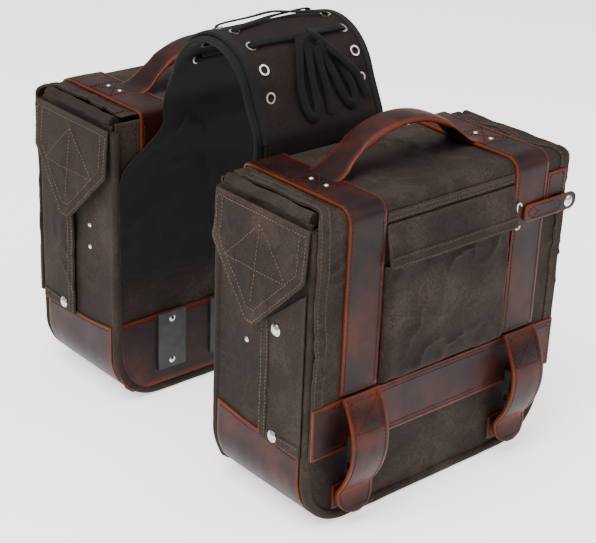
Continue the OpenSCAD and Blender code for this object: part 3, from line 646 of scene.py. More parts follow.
def over(x, angle, radius):
    """A point at an angle over the arch, or down its straight legs beyond 75 degrees."""
    a = math.radians(angle)
    if abs(a) <= LEG_ANGLE:
        return [x, radius * math.sin(a), ARCH_Z + radius * math.cos(a)]
    point = leg_top + leg_way * ARCH_R * (abs(a) - LEG_ANGLE) + (radius - ARCH_R) * np.array([-leg_way[1], leg_way[0]])
    return [x, math.copysign(point[0], a), ARCH_Z + point[1]]


LACE_OUT = ARCH_R + 3.2 * MM
LACE_IN = INNER_R - YOKE_T - 3.2 * MM
FRONT_X, REAR_X = YOKE_X - 67 * MM, YOKE_X + 67 * MM


def threads(x, angle, outward):
    steps = [LACE_IN, (LACE_IN + LACE_OUT) / 2, LACE_OUT]
    return [over(x, angle, r) for r in (steps if outward else steps[::-1])]


def crossing(x0, a0, x1, a1, lift):
    return [over(x0 + (x1 - x0) * t, a0 + (a1 - a0) * t, LACE_OUT + (lift if t == 0.5 else lift / 2)
                 * MM) for t in (0.3, 0.5, 0.7)]


def lace_half(x0, x1, lift):
    return (threads(x0, ROWS[2], False) + threads(x0, ROWS[3], True) + crossing(x0, ROWS[3], x1, ROWS[4], lift)
            + threads(x1, ROWS[4], False) + threads(x1, ROWS[5], True) + crossing(x1, ROWS[5], x0, ROWS[6], lift))


knot_x, knot_angle = YOKE_X + 4 * MM, ROWS[2] - 2
lace_route = ([over(knot_x - 3 * MM, knot_angle, LACE_OUT + 3 * MM),
               over((FRONT_X + knot_x) / 2, ROWS[2], LACE_OUT + 1 * MM)]
              + lace_half(FRONT_X, REAR_X, 1) + threads(FRONT_X, ROWS[6], False) + [over(YOKE_X, ROWS[6], LACE_IN)]
              + threads(REAR_X, ROWS[6], True) + lace_half(REAR_X, FRONT_X, 6)[::-1]
              + [over((REAR_X + knot_x) / 2, ROWS[2], LACE_OUT + 1 * MM),
                 over(knot_x + 3 * MM, knot_angle, LACE_OUT + 8 * MM)])


def hanging(steps):
    """Points of a loop or end that leaves the knot: distance fore and aft in mm, angle and lift in mm."""
    return [over(knot_x + dx * MM, knot_angle + 6 + turn, LACE_OUT + lift * MM) for dx, turn, lift in steps]


front_loop = hanging([(-10, -8, 6), (-20, -22, 3), (-30, -46, 1.5), (-30, -66, 1), (-22, -78, 1), (-13, -66, 1),
                      (-12, -46, 1.5), (-7, -16, 7)])
rear_loop = hanging([(10, -8, 6), (24, -22, 3), (38, -46, 1.5), (44, -62, 1), (37, -74, 1), (27, -62, 1),
                     (20, -44, 1.5), (9, -16, 7)])
front_tail = hanging([(2, -20, 8), (4, -40, 2), (6, -60, 1), (4, -76, 1)])
rear_tail = hanging([(16, -22, 10), (34, -34, 7), (54, -48, 2), (62, -68, 1)])


def away_from_arch(points):
    """The direction away from the arch's centre line, which the flat of the lace faces."""
    out = points * [0, 1, 1] - [0, 0, ARCH_Z]
    return out / (np.linalg.norm(out, axis=1, keepdims=True) + 1e-9)


def smooth_route(points, per_step=8):
    """A Catmull-Rom curve through the points."""
    p = np.array([points[0]] + list(points) + [points[-1]], float)
    route = []
    for k in range(1, len(p) - 2):
        for t in np.linspace(0, 1, per_step, endpoint=False):
            route.append(0.5 * (2 * p[k] + (p[k + 1] - p[k - 1]) * t
                                + (2 * p[k - 1] - 5 * p[k] + 4 * p[k + 1] - p[k + 2]) * t * t
                                + (3 * p[k] - p[k - 1] - 3 * p[k + 1] + p[k + 2]) * t ** 3))
    return np.array(route + [p[-1]])


LACE_W, BOW_W = 8 * MM, 10 * MM
for piece_name, route, end in (("yoke_lace_run", lace_route, "knot"), ("bow_front_loop", front_loop, "knot"),
                               ("bow_rear_loop", rear_loop, "knot"), ("bow_front_end", front_tail, "bare"),
                               ("bow_rear_end", rear_tail, "bare")):
    curve = smooth_route(route)
    lace = sweep(piece_name, curve, LACE_W if piece_name == "yoke_lace_run" else BOW_W, 2.2 * MM, lace_cloth,
                 away_from_arch, 10, 2.5 * MM, power=0.8)
    print(piece_name, "is", round(resample(curve, 400)[1] * 1000), "mm long")
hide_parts("yoke_lace")

# %% [markdown]
# The bag's body. Seen from the side it is a U: straight ends, rounded bottom corners and a flat bottom. The U is
# one gusset of canvas that joins the two faces, with a thick piped rim on each side.


# %% The U of the bag
STRAIGHT = HALF_L - CORNER_R
QUARTER = CORNER_R * math.pi / 2


def around_u(t, inset=0.0):
    """x and z at a distance t along the U, from its middle at the bottom, moved in by inset."""
    t = np.asarray(t, float)
    side, run = np.sign(t), np.abs(t)
    angle = np.clip((run - STRAIGHT) / CORNER_R, 0, math.pi / 2)
    radius = CORNER_R - inset
    x = np.minimum(run, STRAIGHT) + radius * np.sin(angle)
    z = inset + radius * (1 - np.cos(angle)) + np.maximum(run - STRAIGHT - QUARTER, 0)
    return side * x, z


def u_length(z):
    """Distance along the U to height z on its straight end."""
    return STRAIGHT + QUARTER + z - CORNER_R


def gusset(side, seed):
    reach = u_length(366 * MM)

    def place(u, v):
        t, d = (2 * v - 1) * reach, (9 + u * 147) * MM
        x, z = around_u(t, 2.5 * MM)
        free = np.sin(np.pi * u) ** 0.5
        press = free * (rumple(d, t, seed, 1.3 * MM, 2.4 * MM) - 1.2 * MM)
        high = np.clip((z - 0.1) / 0.1, 0, 1)
        for rivet_z in (198 * MM, 227 * MM):
            high = high * (1 - np.exp(-(((d - 58 * MM) ** 2 + (z - rivet_z) ** 2) / (16 * MM) ** 2)))
        return bag_point(side, x + np.sign(x) * press * high, d, z)
    return Sheet(place, (147 * MM, 2 * reach), lambda p: np.array([0, 0, -1.0]))


def face(side, depth, seed, top, bulge):
    """A flat face of the bag, cut to the U."""
    def place(u, v):
        z = 6 * MM + v * (top - 6 * MM)
        low = np.clip((CORNER_R - z) / (CORNER_R - 6 * MM), 0, 1)
        half = STRAIGHT + (CORNER_R - 6 * MM) * np.sqrt(np.clip(1 - low ** 2, 0, 1)) + 0 * u
        x = (2 * u - 1) * half
        swell = bulge * np.sin(np.pi * u) * np.sin(np.pi * np.clip(v, 0, 1)) + rumple(x, z, seed, 1.2 * MM,
                                                                                      1.5 * MM) * 0.6
        return bag_point(side, x, depth + swell * (1 if depth > 0.08 else -1), z)
    way = SIDES[side] * (1 if depth > 0.08 else -1)
    return Sheet(place, (2 * HALF_L, top), (0, way, 0))


for side in SIDES:
    seed = 11 if side == "right" else 61
    walls = build(f"{side}_gusset", gusset(side, seed), canvas, 2.6 * MM, 5 * MM)
    back = build(f"{side}_inner_face", face(side, FACE_IN, seed + 1, 370 * MM, 0), canvas, 2.5 * MM, 6 * MM)
    front_sheet = face(side, FRONT, seed + 2, 362 * MM, -1 * MM)
    front = build(f"{side}_outer_face", front_sheet, canvas, 2.5 * MM, 6 * MM)
    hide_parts(f"{side}_shell")
    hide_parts(f"{side}_shell")
    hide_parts(f"{side}_shell")
print("gusset length", round(2 * u_length(366 * MM) * 1000), "mm")

# %% [markdown]
# The piping is canvas sewn around a rope, and the ends of the gusset are rolled over and stitched, which leaves a
# dark gap between the roll and the lid.

# %% Piping and rolls
for side in SIDES:
    seed = 21 if side == "right" else 71
    for rim_name, d in (("inner_piping", RIM_R), ("outer_piping", BAG_D - RIM_R)):
        t = np.linspace(-u_length(RIM_TOP), u_length(RIM_TOP), 160)
        x, z = around_u(t, RIM_R)
        path = bag_point(side, x, d + 0.5 * MM * waves(t, t, seed, 0.12), z)
        rim = sweep(f"{side}_{rim_name}", path, 12.4 * MM, 12.4 * MM, canvas, (0, 1, 0), 14, 5 * MM, uneven=0.05,
                    seed=seed)
        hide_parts("rim_pipings")
    for end, sign in ENDS.items():
        depths = np.linspace(13, 152, 24) * MM
        path = bag_point(side, sign * (180.5 * MM + 0.6 * MM * waves(depths, depths, seed, 0.07)), depths,
                         369 * MM + 0.8 * MM * waves(depths, depths, seed + 3, 0.08))
        sweep(f"{side}_{end}_end_roll", path, 14 * MM, 14.5 * MM, canvas, (0, 0, 1), 16, 4 * MM, uneven=0.10,
              seed=seed + 5)

# %% [markdown]
# The bottom wears a boot of thick leather. It wraps up both ends, its top edge falls outwards, and a flat piece
# backs the inner face. Leather is cut, not hemmed, so the rim of every leather piece shows its burnished edge.

# %% Leather boot


def boot(side):
    def place(u, v):
        d = (11.6 + u * 141.8) * MM
        top = np.interp(d, [0, 60 * MM, 100 * MM, 165 * MM], [106 * MM, 99 * MM, 97 * MM, 93 * MM])
        x, z = around_u((2 * v - 1) * u_length(top), 0)
        press = 0.5 * MM * waves(d, x + z, 31, 0.1) * np.clip((z - 0.02) / 0.05, 0, 1)
        return bag_point(side, x + np.sign(x) * press, d, z)
    return Sheet(place, (141.8 * MM, 2 * u_length(98 * MM)), lambda p: np.array([0, 0, -1.0]))


for side in SIDES:
    boot_sheet = boot(side)
    boot_piece = build(f"{side}_boot", boot_sheet, leather, 2.5 * MM, 5 * MM, leather_edge, 0.6 * MM,
                       worn=2.2 * MM)
    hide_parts("base_leathers")
    sew(f"{side}_boot_stitches", border(boot_sheet, 5 * MM, "tb"), thread_red, "bags")
    plate = Sheet(lambda u, v, side=side: bag_point(side, (2 * u - 1) * (165 + 20 * np.sqrt(np.clip(v * 3, 0, 1)))
                                                    * MM, 1.6 * MM, (12 + 98 * v) * MM),
                  (360 * MM, 98 * MM), (0, -SIDES[side], 0))
    plate_piece = build(f"{side}_inner_leather", plate, leather, 2.2 * MM, 8 * MM, leather_edge, 0.5 * MM)
    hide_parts("base_leathers")
    sew(f"{side}_inner_leather_stitches", border(plate, 6 * MM, "t"), thread_red, "bags")

# %% [markdown]
# The lid is one piece of canvas that lies between the two rolls, bends over the outer edge and hangs down in front
# of the bag. A distance s along it gives its depth and height, so everything on the lid is laid out flat on s.

# %% Lid
FOLD_D = 10.2 * MM
BEND_D, BEND_Z = LID_D - LID_R, LID_Z - LID_R
LID_TOP_S = BEND_D - FOLD_D
LID_BEND_S = LID_R * math.pi / 2
LID_S = LID_TOP_S + LID_BEND_S + BEND_Z - BAND_Z


def along_lid(s, lift=0.0):
    """Depth and height at a distance s over the lid, lifted off it."""
    s = np.asarray(s, float)
    angle = np.clip((s - LID_TOP_S) / LID_R, 0, math.pi / 2)
    radius = LID_R + lift
    d = np.minimum(s, LID_TOP_S) + FOLD_D + radius * np.sin(angle)
    z = BEND_Z + radius * np.cos(angle) - np.maximum(s - LID_TOP_S - LID_BEND_S, 0)
    return d, z


def s_at(z):
    """Distance over the lid to height z on its front."""
    return LID_TOP_S + LID_BEND_S + BEND_Z - z


def half_width(s):
    return LID_TOP_X + (LID_FRONT_X - LID_TOP_X) * smooth_step((s - LID_TOP_S + 12 * MM) / (30 * MM))


def on_lid(side, x, s, lift=0.0):
    """A point on the lid, lifted off it."""
    d, z = along_lid(s, lift)
    return bag_point(side, x, d, z)


def lid_sheet(side, seed):
    def place(u, v):
        s = v * LID_S
        x = (2 * u - 1) * half_width(s)
        top = np.clip((LID_TOP_S - s) / (30 * MM), 0, 1)
        hanging_part = np.clip((s - LID_TOP_S - LID_BEND_S) / (30 * MM), 0, 1)
        clear_of_straps = smooth_step((np.abs(np.abs(x) - STRAP_X) - 22 * MM) / (14 * MM))
        low = np.clip((s_at(170 * MM) - s) / (30 * MM), 0, 1)
        height = rumple(x, s, seed, 2.0 * MM, 4.2 * MM, 0.085) * clear_of_straps
        sag = -2.5 * MM * np.sin(np.pi * u) * np.sin(np.pi * np.clip(s / LID_TOP_S, 0, 1)) * top
        lift = height * np.maximum(top, hanging_part * low) * (s > 6 * MM) + sag
        return on_lid(side, x, s, np.clip(lift, -3.4 * MM, 3.4 * MM))
    return Sheet(place, (2 * LID_FRONT_X, LID_S), lambda p: np.array([0, 0, 1.0])
                 if p[2] > 0.37 else np.array([0, SIDES[side], 0.0]))


def hem_of(sheet, name, u0, u1, v0, v1, cloth, body, thread=None, lift=1.3 * MM):
    """A turned edge: a second layer of cloth over the sheet's edge, with its rows of stitches."""
    hem = sheet.part(u0, u1, v0, v1, lift)
    build(name, hem, cloth, lift, 4 * MM, None, 0.5 * MM, body, 4 * MM)
    if thread:
        long_way = "lr" if hem.size[1] > hem.size[0] else "tb"
        sew(name + "_stitches", border(hem, 2.2 * MM, long_way), thread, body)


def fold_line(side):
    """Where a piece passes from the bag to the lid, over 12 mm across the fold."""
    return {"start": tuple(bag_point(side, 0, FOLD_D - 3 * MM, LID_Z)),
            "end": tuple(bag_point(side, 0, FOLD_D + 9 * MM, LID_Z))}


lid_sheets = {}
for side in SIDES:
    seed = 101 if side == "right" else 151
    sheet = lid_sheet(side, seed)
    lid_sheets[side] = sheet
    lid_piece = build(f"{side}_lid_canvas", sheet, canvas, 2.2 * MM, 4.2 * MM, None, 0.5 * MM, None)
    fold_line(side)
    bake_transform(lid_piece)
    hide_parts(f"{side}_lid")
    edge_u = 15 * MM / (2 * LID_FRONT_X)
    v_start, v_end = 14 * MM / LID_S, s_at(160 * MM) / LID_S
    for end, (u0, u1) in {"front": (0, edge_u), "rear": (1 - edge_u, 1)}.items():
        hem_of(sheet, f"{side}_lid_{end}_hem", u0, u1, v_start, v_end, canvas, f"{side}_lid", thread_grey)
print("lid length over the top and front", round(LID_S * 1000), "mm")

# %% [markdown]
# A wide leather band is sewn along the lid's lower edge. It is left plain here.

# %% Lid band
STITCH_IN = 4.5 * MM
for side in SIDES:
    def place_band(u, v, side=side):
        x = (2 * u - 1) * LID_FRONT_X
        z = BAND_Z + BAND_W * (1 - v)
        wave = 0.5 * MM * waves(x, z, 201, 0.13)
        droop = 1.2 * MM * np.sin(2 * np.pi * u) * (1 - v)
        return bag_point(side, x, LID_D + 3 * MM + wave, z + droop * 0.4)
    band = Sheet(place_band, (2 * LID_FRONT_X, BAND_W), (0, SIDES[side], 0))
    band_piece = leather_piece(f"{side}_band", band, 3 * MM, 4 * MM, 0.7 * MM, f"{side}_lid")
    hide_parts(f"{side}_lid_band")
    inner_row = border(band, 3.5 * MM, "tblr") + border(band, 8 * MM, "tb")
    sew(f"{side}_band_stitches", inner_row, thread_red, f"{side}_lid")

# %% [markdown]
# Two leather straps start on the bag's inner face, run over its top edge and the lid, and end in free tails. Each is
# stitched along its edges and riveted on top, with a crossed box of stitches where the tail joins. A tail bows out
# over its buckle and ends in a rounded tongue.

# %% Straps and tails
STRAP_END_S = s_at(TAIL_Z + 0.5 * MM)
# Behind the fold a strap goes over the bag's inner top edge and down its inner face.
BACK_D = np.array([14.2, 8, 4, 1.2, 0.1, -0.2, -0.2]) * MM
BACK_Z = np.array([379, 379, 377.8, 375, 371, 366, 300]) * MM
BACK_RUN = np.concatenate([[0], np.cumsum(np.hypot(np.diff(BACK_D), np.diff(BACK_Z)))]) - 4 * MM
STRAP_BACK = BACK_RUN[-1]


def crossed_box(sheet, u0, u1, v0, v1, lift=0.3 * MM):
    corners = [(u0, v0), (u1, v0), (u1, v1), (u0, v1), (u0, v0)]
    return [seam(sheet, corners, lift, 14), seam(sheet, [(u0, v0), (u1, v1)], lift),
            seam(sheet, [(u0, v1), (u1, v0)], lift)]


TAIL_STEPS = np.linspace(0, 1, 200)
TAIL_BOW_END = 0.8 * TAIL_LEN
tail_drop = TAIL_STEPS * TAIL_LEN
tail_bow = 22 * MM * np.maximum(0, np.sin(np.pi * tail_drop / TAIL_BOW_END)) ** 0.8
tail_tip = 6 * MM * (1 - np.cos(np.pi / 2 * np.clip((tail_drop - TAIL_BOW_END) / (TAIL_LEN - TAIL_BOW_END), 0, 1)))
tail_out = LID_D + 3.5 * MM + 0.4 * MM + STRAP_T + np.where(tail_drop < TAIL_BOW_END, tail_bow, tail_tip)
kernel = np.hanning(17) / np.hanning(17).sum()
tail_out = np.convolve(np.pad(tail_out, 8, mode="edge"), kernel, mode="valid")

for side in SIDES:
    for end, sign in ENDS.items():
        def place_strap(u, v, side=side, sign=sign):
            s = v * (STRAP_END_S + STRAP_BACK) - STRAP_BACK
            x = sign * STRAP_X + (2 * u - 1) * STRAP_W / 2
            cup = 0.5 * MM * (2 * np.abs(u - 0.5)) ** 2
            d, z = along_lid(s, STRAP_T - cup + 0.35 * MM * waves(x, s, 231 + int(sign), 0.09))
            back = np.clip((4 * MM - s) / (6 * MM), 0, 1)
            back_d, back_z = np.interp(-s, BACK_RUN, BACK_D), np.interp(-s, BACK_RUN, BACK_Z)
            return bag_point(side, x, d + (back_d - d) * back, z + (back_z - z) * back)
        def strap_outward(p, side=side):
            """Up on top, outwards in front, and towards the other bag behind."""
            if p[2] > 0.374:
                return np.array([0, 0, 1.0])
            return np.array([0, SIDES[side] * (1 if abs(p[1]) > 0.15 else -1), 0.0])
        strap = Sheet(place_strap, (STRAP_W, STRAP_END_S + STRAP_BACK), strap_outward)
        name = f"{side}_{end}_strap"
        strap_piece = leather_piece(name, strap, STRAP_T - 0.5 * MM, 3.6 * MM, 0.8 * MM, None)
        fold_line(side)
        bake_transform(strap_piece)
        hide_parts(f"{side}_lid_straps")
        shown = STRAP_BACK / (STRAP_END_S + STRAP_BACK)
        on_top = strap.part(0, 1, shown + 0.02, 1)
        rows = border(on_top, STITCH_IN, "lr") + crossed_box(on_top, 0.12, 0.88, 55 * MM / STRAP_END_S,
                                                             99 * MM / STRAP_END_S)
        sew(name + "_stitches", rows, thread_red, f"{side}_lid")
        behind = strap.part(0, 1, 0, shown - 0.04)
        sew(name + "_back_stitches", border(behind, STITCH_IN, "lr"), thread_red, "bags")

        def place_tail(u, v, side=side, sign=sign):
            drop = v * TAIL_LEN
            d = np.interp(v, TAIL_STEPS, tail_out)
            tongue = np.clip((drop - (TAIL_LEN - 24 * MM)) / (24 * MM), 0, 1)
            half = STRAP_W / 2 * np.maximum(0.28, np.sqrt(np.clip(1 - 0.92 * tongue ** 2.2, 0, 1)))
            x = sign * STRAP_X + (2 * u - 1) * half + 0.8 * MM * sign * np.sin(np.pi * v)
            cup = 1.2 * MM * (2 * (u - 0.5)) ** 2
            return bag_point(side, x, d - cup, TAIL_Z - drop)
        tail = Sheet(place_tail, (STRAP_W, TAIL_LEN * 1.12), (0, SIDES[side], 0))
        name = f"{side}_{end}_strap_tail"
        # Lighter leather at the tail's bends: pull-up wear, and a painted highlight where the bow faces the top light.
        bends_and_painted_highlight = lambda u, v: 0.75 * (np.exp(-((v - 0.33) / 0.06) ** 2) * 0.5 + np.exp(-((v - 0.80) / 0.09) ** 2)
                                       + 0.6 * np.exp(-((v - 0.04) / 0.04) ** 2))
        tail_piece = leather_piece(name + "_leather", tail, STRAP_T - 0.3 * MM, 3.2 * MM, 0.8 * MM, name,
                           bend_wear_and_highlight=bends_and_painted_highlight)
        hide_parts(name)
        edge_u, edge_v = STITCH_IN / STRAP_W, STITCH_IN / TAIL_LEN
        loop = [(edge_u, 0.02), (edge_u, 1 - edge_v * 1.4), (1 - edge_u, 1 - edge_v * 1.4), (1 - edge_u, 0.02)]
        sew(name + "_stitches", [seam(tail, loop)] + crossed_box(tail, 0.13, 0.87, 0.04, 0.26), thread_red, name)
print("a strap is", round(STRAP_END_S * 1000), "mm over the lid, and its tail", round(TAIL_LEN * 1000), "mm")

# %% [markdown]
# The front pocket is a shallow gathered box of canvas with a stiff flap. Its sides fold back to the lid, and its
# front is creased by what it has carried.

# %% Pocket and flap
POCKET_LOW, POCKET_TOP, POCKET_SEAM = 162 * MM, 302 * MM, 350 * MM
POCKET_X = 96 * MM
for side in SIDES:
    seed = 301 if side == "right" else 341

    def place_pocket(u, v, side=side, seed=seed):
        across = 2 * u - 1
        rise = 1 - np.clip((np.abs(across) - 0.91) / 0.09, 0, 1) ** 2.2
        z = POCKET_LOW + v * (POCKET_TOP - POCKET_LOW)
        lower = 1 - np.clip((0.10 - v) / 0.10, 0, 1) ** 2.2
        depth = np.interp(z, [0.16, 0.25, 0.302], [12.6 * MM, 12.4 * MM, 8.6 * MM])
        press = rumple(across * POCKET_X, z, seed, 2.0 * MM, 4.6 * MM, 0.085)
        d = LID_D + 0.3 * MM + np.maximum(0, (depth + press - 1 * MM)) * np.minimum(rise, lower) ** 0.6
        return bag_point(side, across * (POCKET_X - 1.5 * MM * np.sin(np.pi * v)), d, z)
    pocket = Sheet(place_pocket, (2 * POCKET_X + 20 * MM, POCKET_TOP - POCKET_LOW), (0, SIDES[side], 0))
    pocket_piece = build(f"{side}_pocket_canvas", pocket, canvas, 1.4 * MM, 3.6 * MM, None, 0.3 * MM, f"{side}_lid")
    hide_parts(f"{side}_pocket")
    sew(f"{side}_pocket_stitches", [seam(pocket, [(0.02, 0.98), (0.98, 0.98)])], thread_grey, f"{side}_lid")

    def place_flap(u, v, side=side, seed=seed):
        across = 2 * u - 1
        z = POCKET_SEAM - v * (POCKET_SEAM - POCKET_TOP - 0.4 * MM)
        curve = 2.4 * MM + 10.4 * MM * v ** 0.9
        press = rumple(across * POCKET_X, z, seed + 9, 0.7 * MM, 1.2 * MM, 0.08) * np.clip(v * 3, 0, 1)
        return bag_point(side, across * (POCKET_X + 1 * MM) * (1 + 0.006 * v), LID_D + curve + press, z)
    flap = Sheet(place_flap, (2 * POCKET_X + 2 * MM, 50 * MM), (0, SIDES[side], 0))
    flap_piece = build(f"{side}_pocket_flap_canvas", flap, canvas, 1.8 * MM, 3.4 * MM, None, 0.4 * MM, None)
    tuple(bag_point(side, 0, LID_D, POCKET_SEAM - 1 * MM))
    tuple(bag_point(side, 0, LID_D, POCKET_SEAM - 13 * MM))
    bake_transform(flap_piece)
    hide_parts(f"{side}_pocket_flap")
    hem_of(flap, f"{side}_pocket_flap_hem", 0, 1, 0.74, 1, canvas, f"{side}_pocket_flap", thread_grey, 1.0 * MM)
    s_seam = s_at(POCKET_SEAM + 6 * MM) / LID_S
    welt_u = (POCKET_X + 1 * MM) / (2 * LID_FRONT_X)
    welt = lid_sheets[side].part(0.5 - welt_u, 0.5 + welt_u, s_seam - 7 * MM / LID_S, s_seam + 3 * MM / LID_S,
                                 2.2 * MM)
    build(f"{side}_pocket_welt", welt, canvas, 2.0 * MM, 3.5 * MM, None, 0.5 * MM, f"{side}_lid")
    sew(f"{side}_pocket_welt_stitches", border(welt, 2.5 * MM, "tb"), thread_grey, f"{side}_lid")
print("pocket", round(2 * POCKET_X * 1000), "by", round((POCKET_TOP - POCKET_LOW) * 1000), "mm")

# %% [markdown]
# Each end has a pointed flap that hangs from under the roll, and a side flap that is sewn along the outer edge and
# closed with two snap caps. Both are hemmed cloth, double stitched, and curl a little at their free edges.

# %% End flaps
FLAP_W, FLAP_SIDE, FLAP_TIP = 152 * MM, 58 * MM, 128 * MM
FLAP_Z, FLAP_D = 362 * MM, 84 * MM
LEAN = math.radians(6)
for side in SIDES:
    for end, sign in ENDS.items():
        seed = 400 + (7 if side == "left" else 0) + sign
        name = f"{side}_{end}_end_flap"

        def flap_at(a, b, side=side, sign=sign, seed=seed, lift=0.0):
            """A point of the pointed flap: a across it and b down it."""
            press = rumple(a, b, seed, 1.0 * MM, 2.0 * MM, 0.08) * np.clip(b / 0.03, 0, 1)
            cup = 3 * MM * (np.abs(a) / (FLAP_W / 2)) ** 2 * np.clip(b / FLAP_TIP, 0, 1) * np.where(a < 0, 1.0, 0.4)
            out = 3.6 * MM + b * np.sin(LEAN) + press - cup
            return bag_point(side, sign * (HALF_L + out), FLAP_D + a, FLAP_Z - b * np.cos(LEAN))

        def place_flap(u, v, flap_at=flap_at):
            half = FLAP_W / 2 - (FLAP_W / 2 - 9 * MM) * np.clip((v * FLAP_TIP - FLAP_SIDE) / (FLAP_TIP - FLAP_SIDE),
                                                                0, 1)
            corner = np.clip((v * FLAP_TIP - FLAP_TIP + 4 * MM) / (4 * MM), 0, 1)
            return flap_at((2 * u - 1) * (half - 2 * MM * corner ** 2), v * FLAP_TIP)
        flap = Sheet(place_flap, (FLAP_W, FLAP_TIP), (sign, 0, 0))
        piece = build(name + "_canvas", flap, canvas_flap, 2.2 * MM, 3.6 * MM, None, 0.5 * MM, name, worn=7 * MM)
        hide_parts(name)

        def straight_seam(points, flap=flap):
            """Stitches straight between points given as (a, b) in metres."""
            a = np.concatenate([np.linspace(p[0], q[0], 30) for p, q in zip(points, points[1:])])
            b = np.concatenate([np.linspace(p[1], q[1], 30) for p, q in zip(points, points[1:])])
            half = FLAP_W / 2 - (FLAP_W / 2 - 9 * MM) * np.clip((b - FLAP_SIDE) / (FLAP_TIP - FLAP_SIDE), 0, 1)
            return flap.at(np.clip(0.5 + a / half / 2, 0, 1), b / FLAP_TIP, 0.3 * MM), flap.normal
        tracks = []
        for inset in (3.5 * MM, 13 * MM):
            a0, slope = FLAP_W / 2 - inset, (FLAP_TIP - FLAP_SIDE) / (FLAP_W / 2 - 9 * MM)
            knee = FLAP_SIDE - inset * 0.45
            tip = knee + (a0 - 6 * MM) * slope
            tracks.append(straight_seam([(-a0, 0.008), (-a0, knee), (-6 * MM, tip), (6 * MM, tip), (a0, knee),
                                         (a0, 0.008)]))
        apex, base_z, reach = 17 * MM, 68 * MM, 50 * MM
        tracks.append(straight_seam([(0, apex), (-reach, base_z), (reach, base_z), (0, apex)]))
        tracks.append(straight_seam([(0, apex), (0, 104 * MM)]))
        tracks.append(straight_seam([(-FLAP_W / 2 + 4 * MM, 0.007), (FLAP_W / 2 - 4 * MM, 0.007)]))
        sew(name + "_stitches", tracks, thread_tan, name)

# %% Side flaps
for side in SIDES:
    for end, sign in ENDS.items():
        seed = 440 + (9 if side == "left" else 0) + sign
        name = f"{side}_{end}_side_flap"

        def place_side(u, v, side=side, sign=sign, seed=seed):
            d = (88 + 69 * u) * MM
            top = (229 + 57 * u + 4) * MM
            z = 95 * MM + v * (top - 95 * MM)
            near_snap = np.exp(-((z - 103 * MM) / 0.02) ** 2) + np.exp(-((z - 233 * MM) / 0.02) ** 2)
            press = rumple(d, z, seed, 0.9 * MM, 1.8 * MM, 0.08) * (1 - 0.8 * np.clip(near_snap, 0, 1)) * (1 - u ** 3)
            return bag_point(side, sign * (HALF_L + 2.6 * MM + np.maximum(press, -1 * MM)), d, z)
        flap = Sheet(place_side, (69 * MM, 165 * MM), (sign, 0, 0))
        piece = build(name + "_canvas", flap, canvas, 1.8 * MM, 3.4 * MM, None, 0.4 * MM, name)
        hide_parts(name)
        hem_u, hem_v = 13 / 69, 13 / 165
        hem_of(flap, name + "_side_hem", 0, hem_u, 0, 1, canvas, name, thread_tan, 1.0 * MM)
        hem_of(flap, name + "_low_hem", hem_u, 1, 0, hem_v, canvas, name, thread_tan, 1.0 * MM)

# %% [markdown]
# The carrying handle is a padded leather grip. Its ends are flat tongues under the straps, and in between the
# leather is wrapped round a core and sewn underneath, with a seam where the wrap begins. Here the wrapped part is
# only made thicker; its stitches and seam are not built.

# %% Handle
HANDLE_D, HANDLE_Z, HANDLE_RISE = 82 * MM, 378 * MM, 45 * MM
HANDLE_SPAN = STRAP_X - STRAP_W / 2 - 2 * MM
HANDLE_ARC = (HANDLE_SPAN ** 2 + HANDLE_RISE ** 2) / (2 * HANDLE_RISE)
for side in SIDES:
    swing = math.asin(HANDLE_SPAN / HANDLE_ARC)
    angle = np.linspace(-swing, swing, 90)
    x = HANDLE_ARC * np.sin(angle)
    z = HANDLE_Z + HANDLE_RISE - HANDLE_ARC + HANDLE_ARC * np.cos(angle)
    foot_x = np.array([-1.16, -1.08]) * HANDLE_SPAN
    x = np.concatenate([foot_x, x, -foot_x[::-1]])
    z = np.concatenate([[377.2 * MM] * 2, np.maximum(z, 377.6 * MM), [377.2 * MM] * 2])
    path = soften(bag_point(side, x, HANDLE_D + 0 * x, z), 12)
    grip = lambda t: smooth_step((0.5 - np.abs(t - 0.5) - 0.20) / 0.05)
    wide = lambda t: (48 - 12 * smooth_step((0.5 - np.abs(t - 0.5)) / 0.2) + 1.5 * grip(t)) * MM
    high = lambda t: (4.2 + 5.2 * grip(t)) * MM
    name = f"{side}_handle"
    handle = sweep(name + "_leather", path, wide, high, leather, (0, 0, 1), 24, 3 * MM, None, 0.62,
                   0.012, 501, 1.0)
    foot = tuple(bag_point(side, 0, HANDLE_D, 377 * MM))
    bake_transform(handle)
    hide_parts(name)

# %% [markdown]
# The hook tab on the lid's front turns on its snap cap. Beside the rear strap a small leather patch backs it.

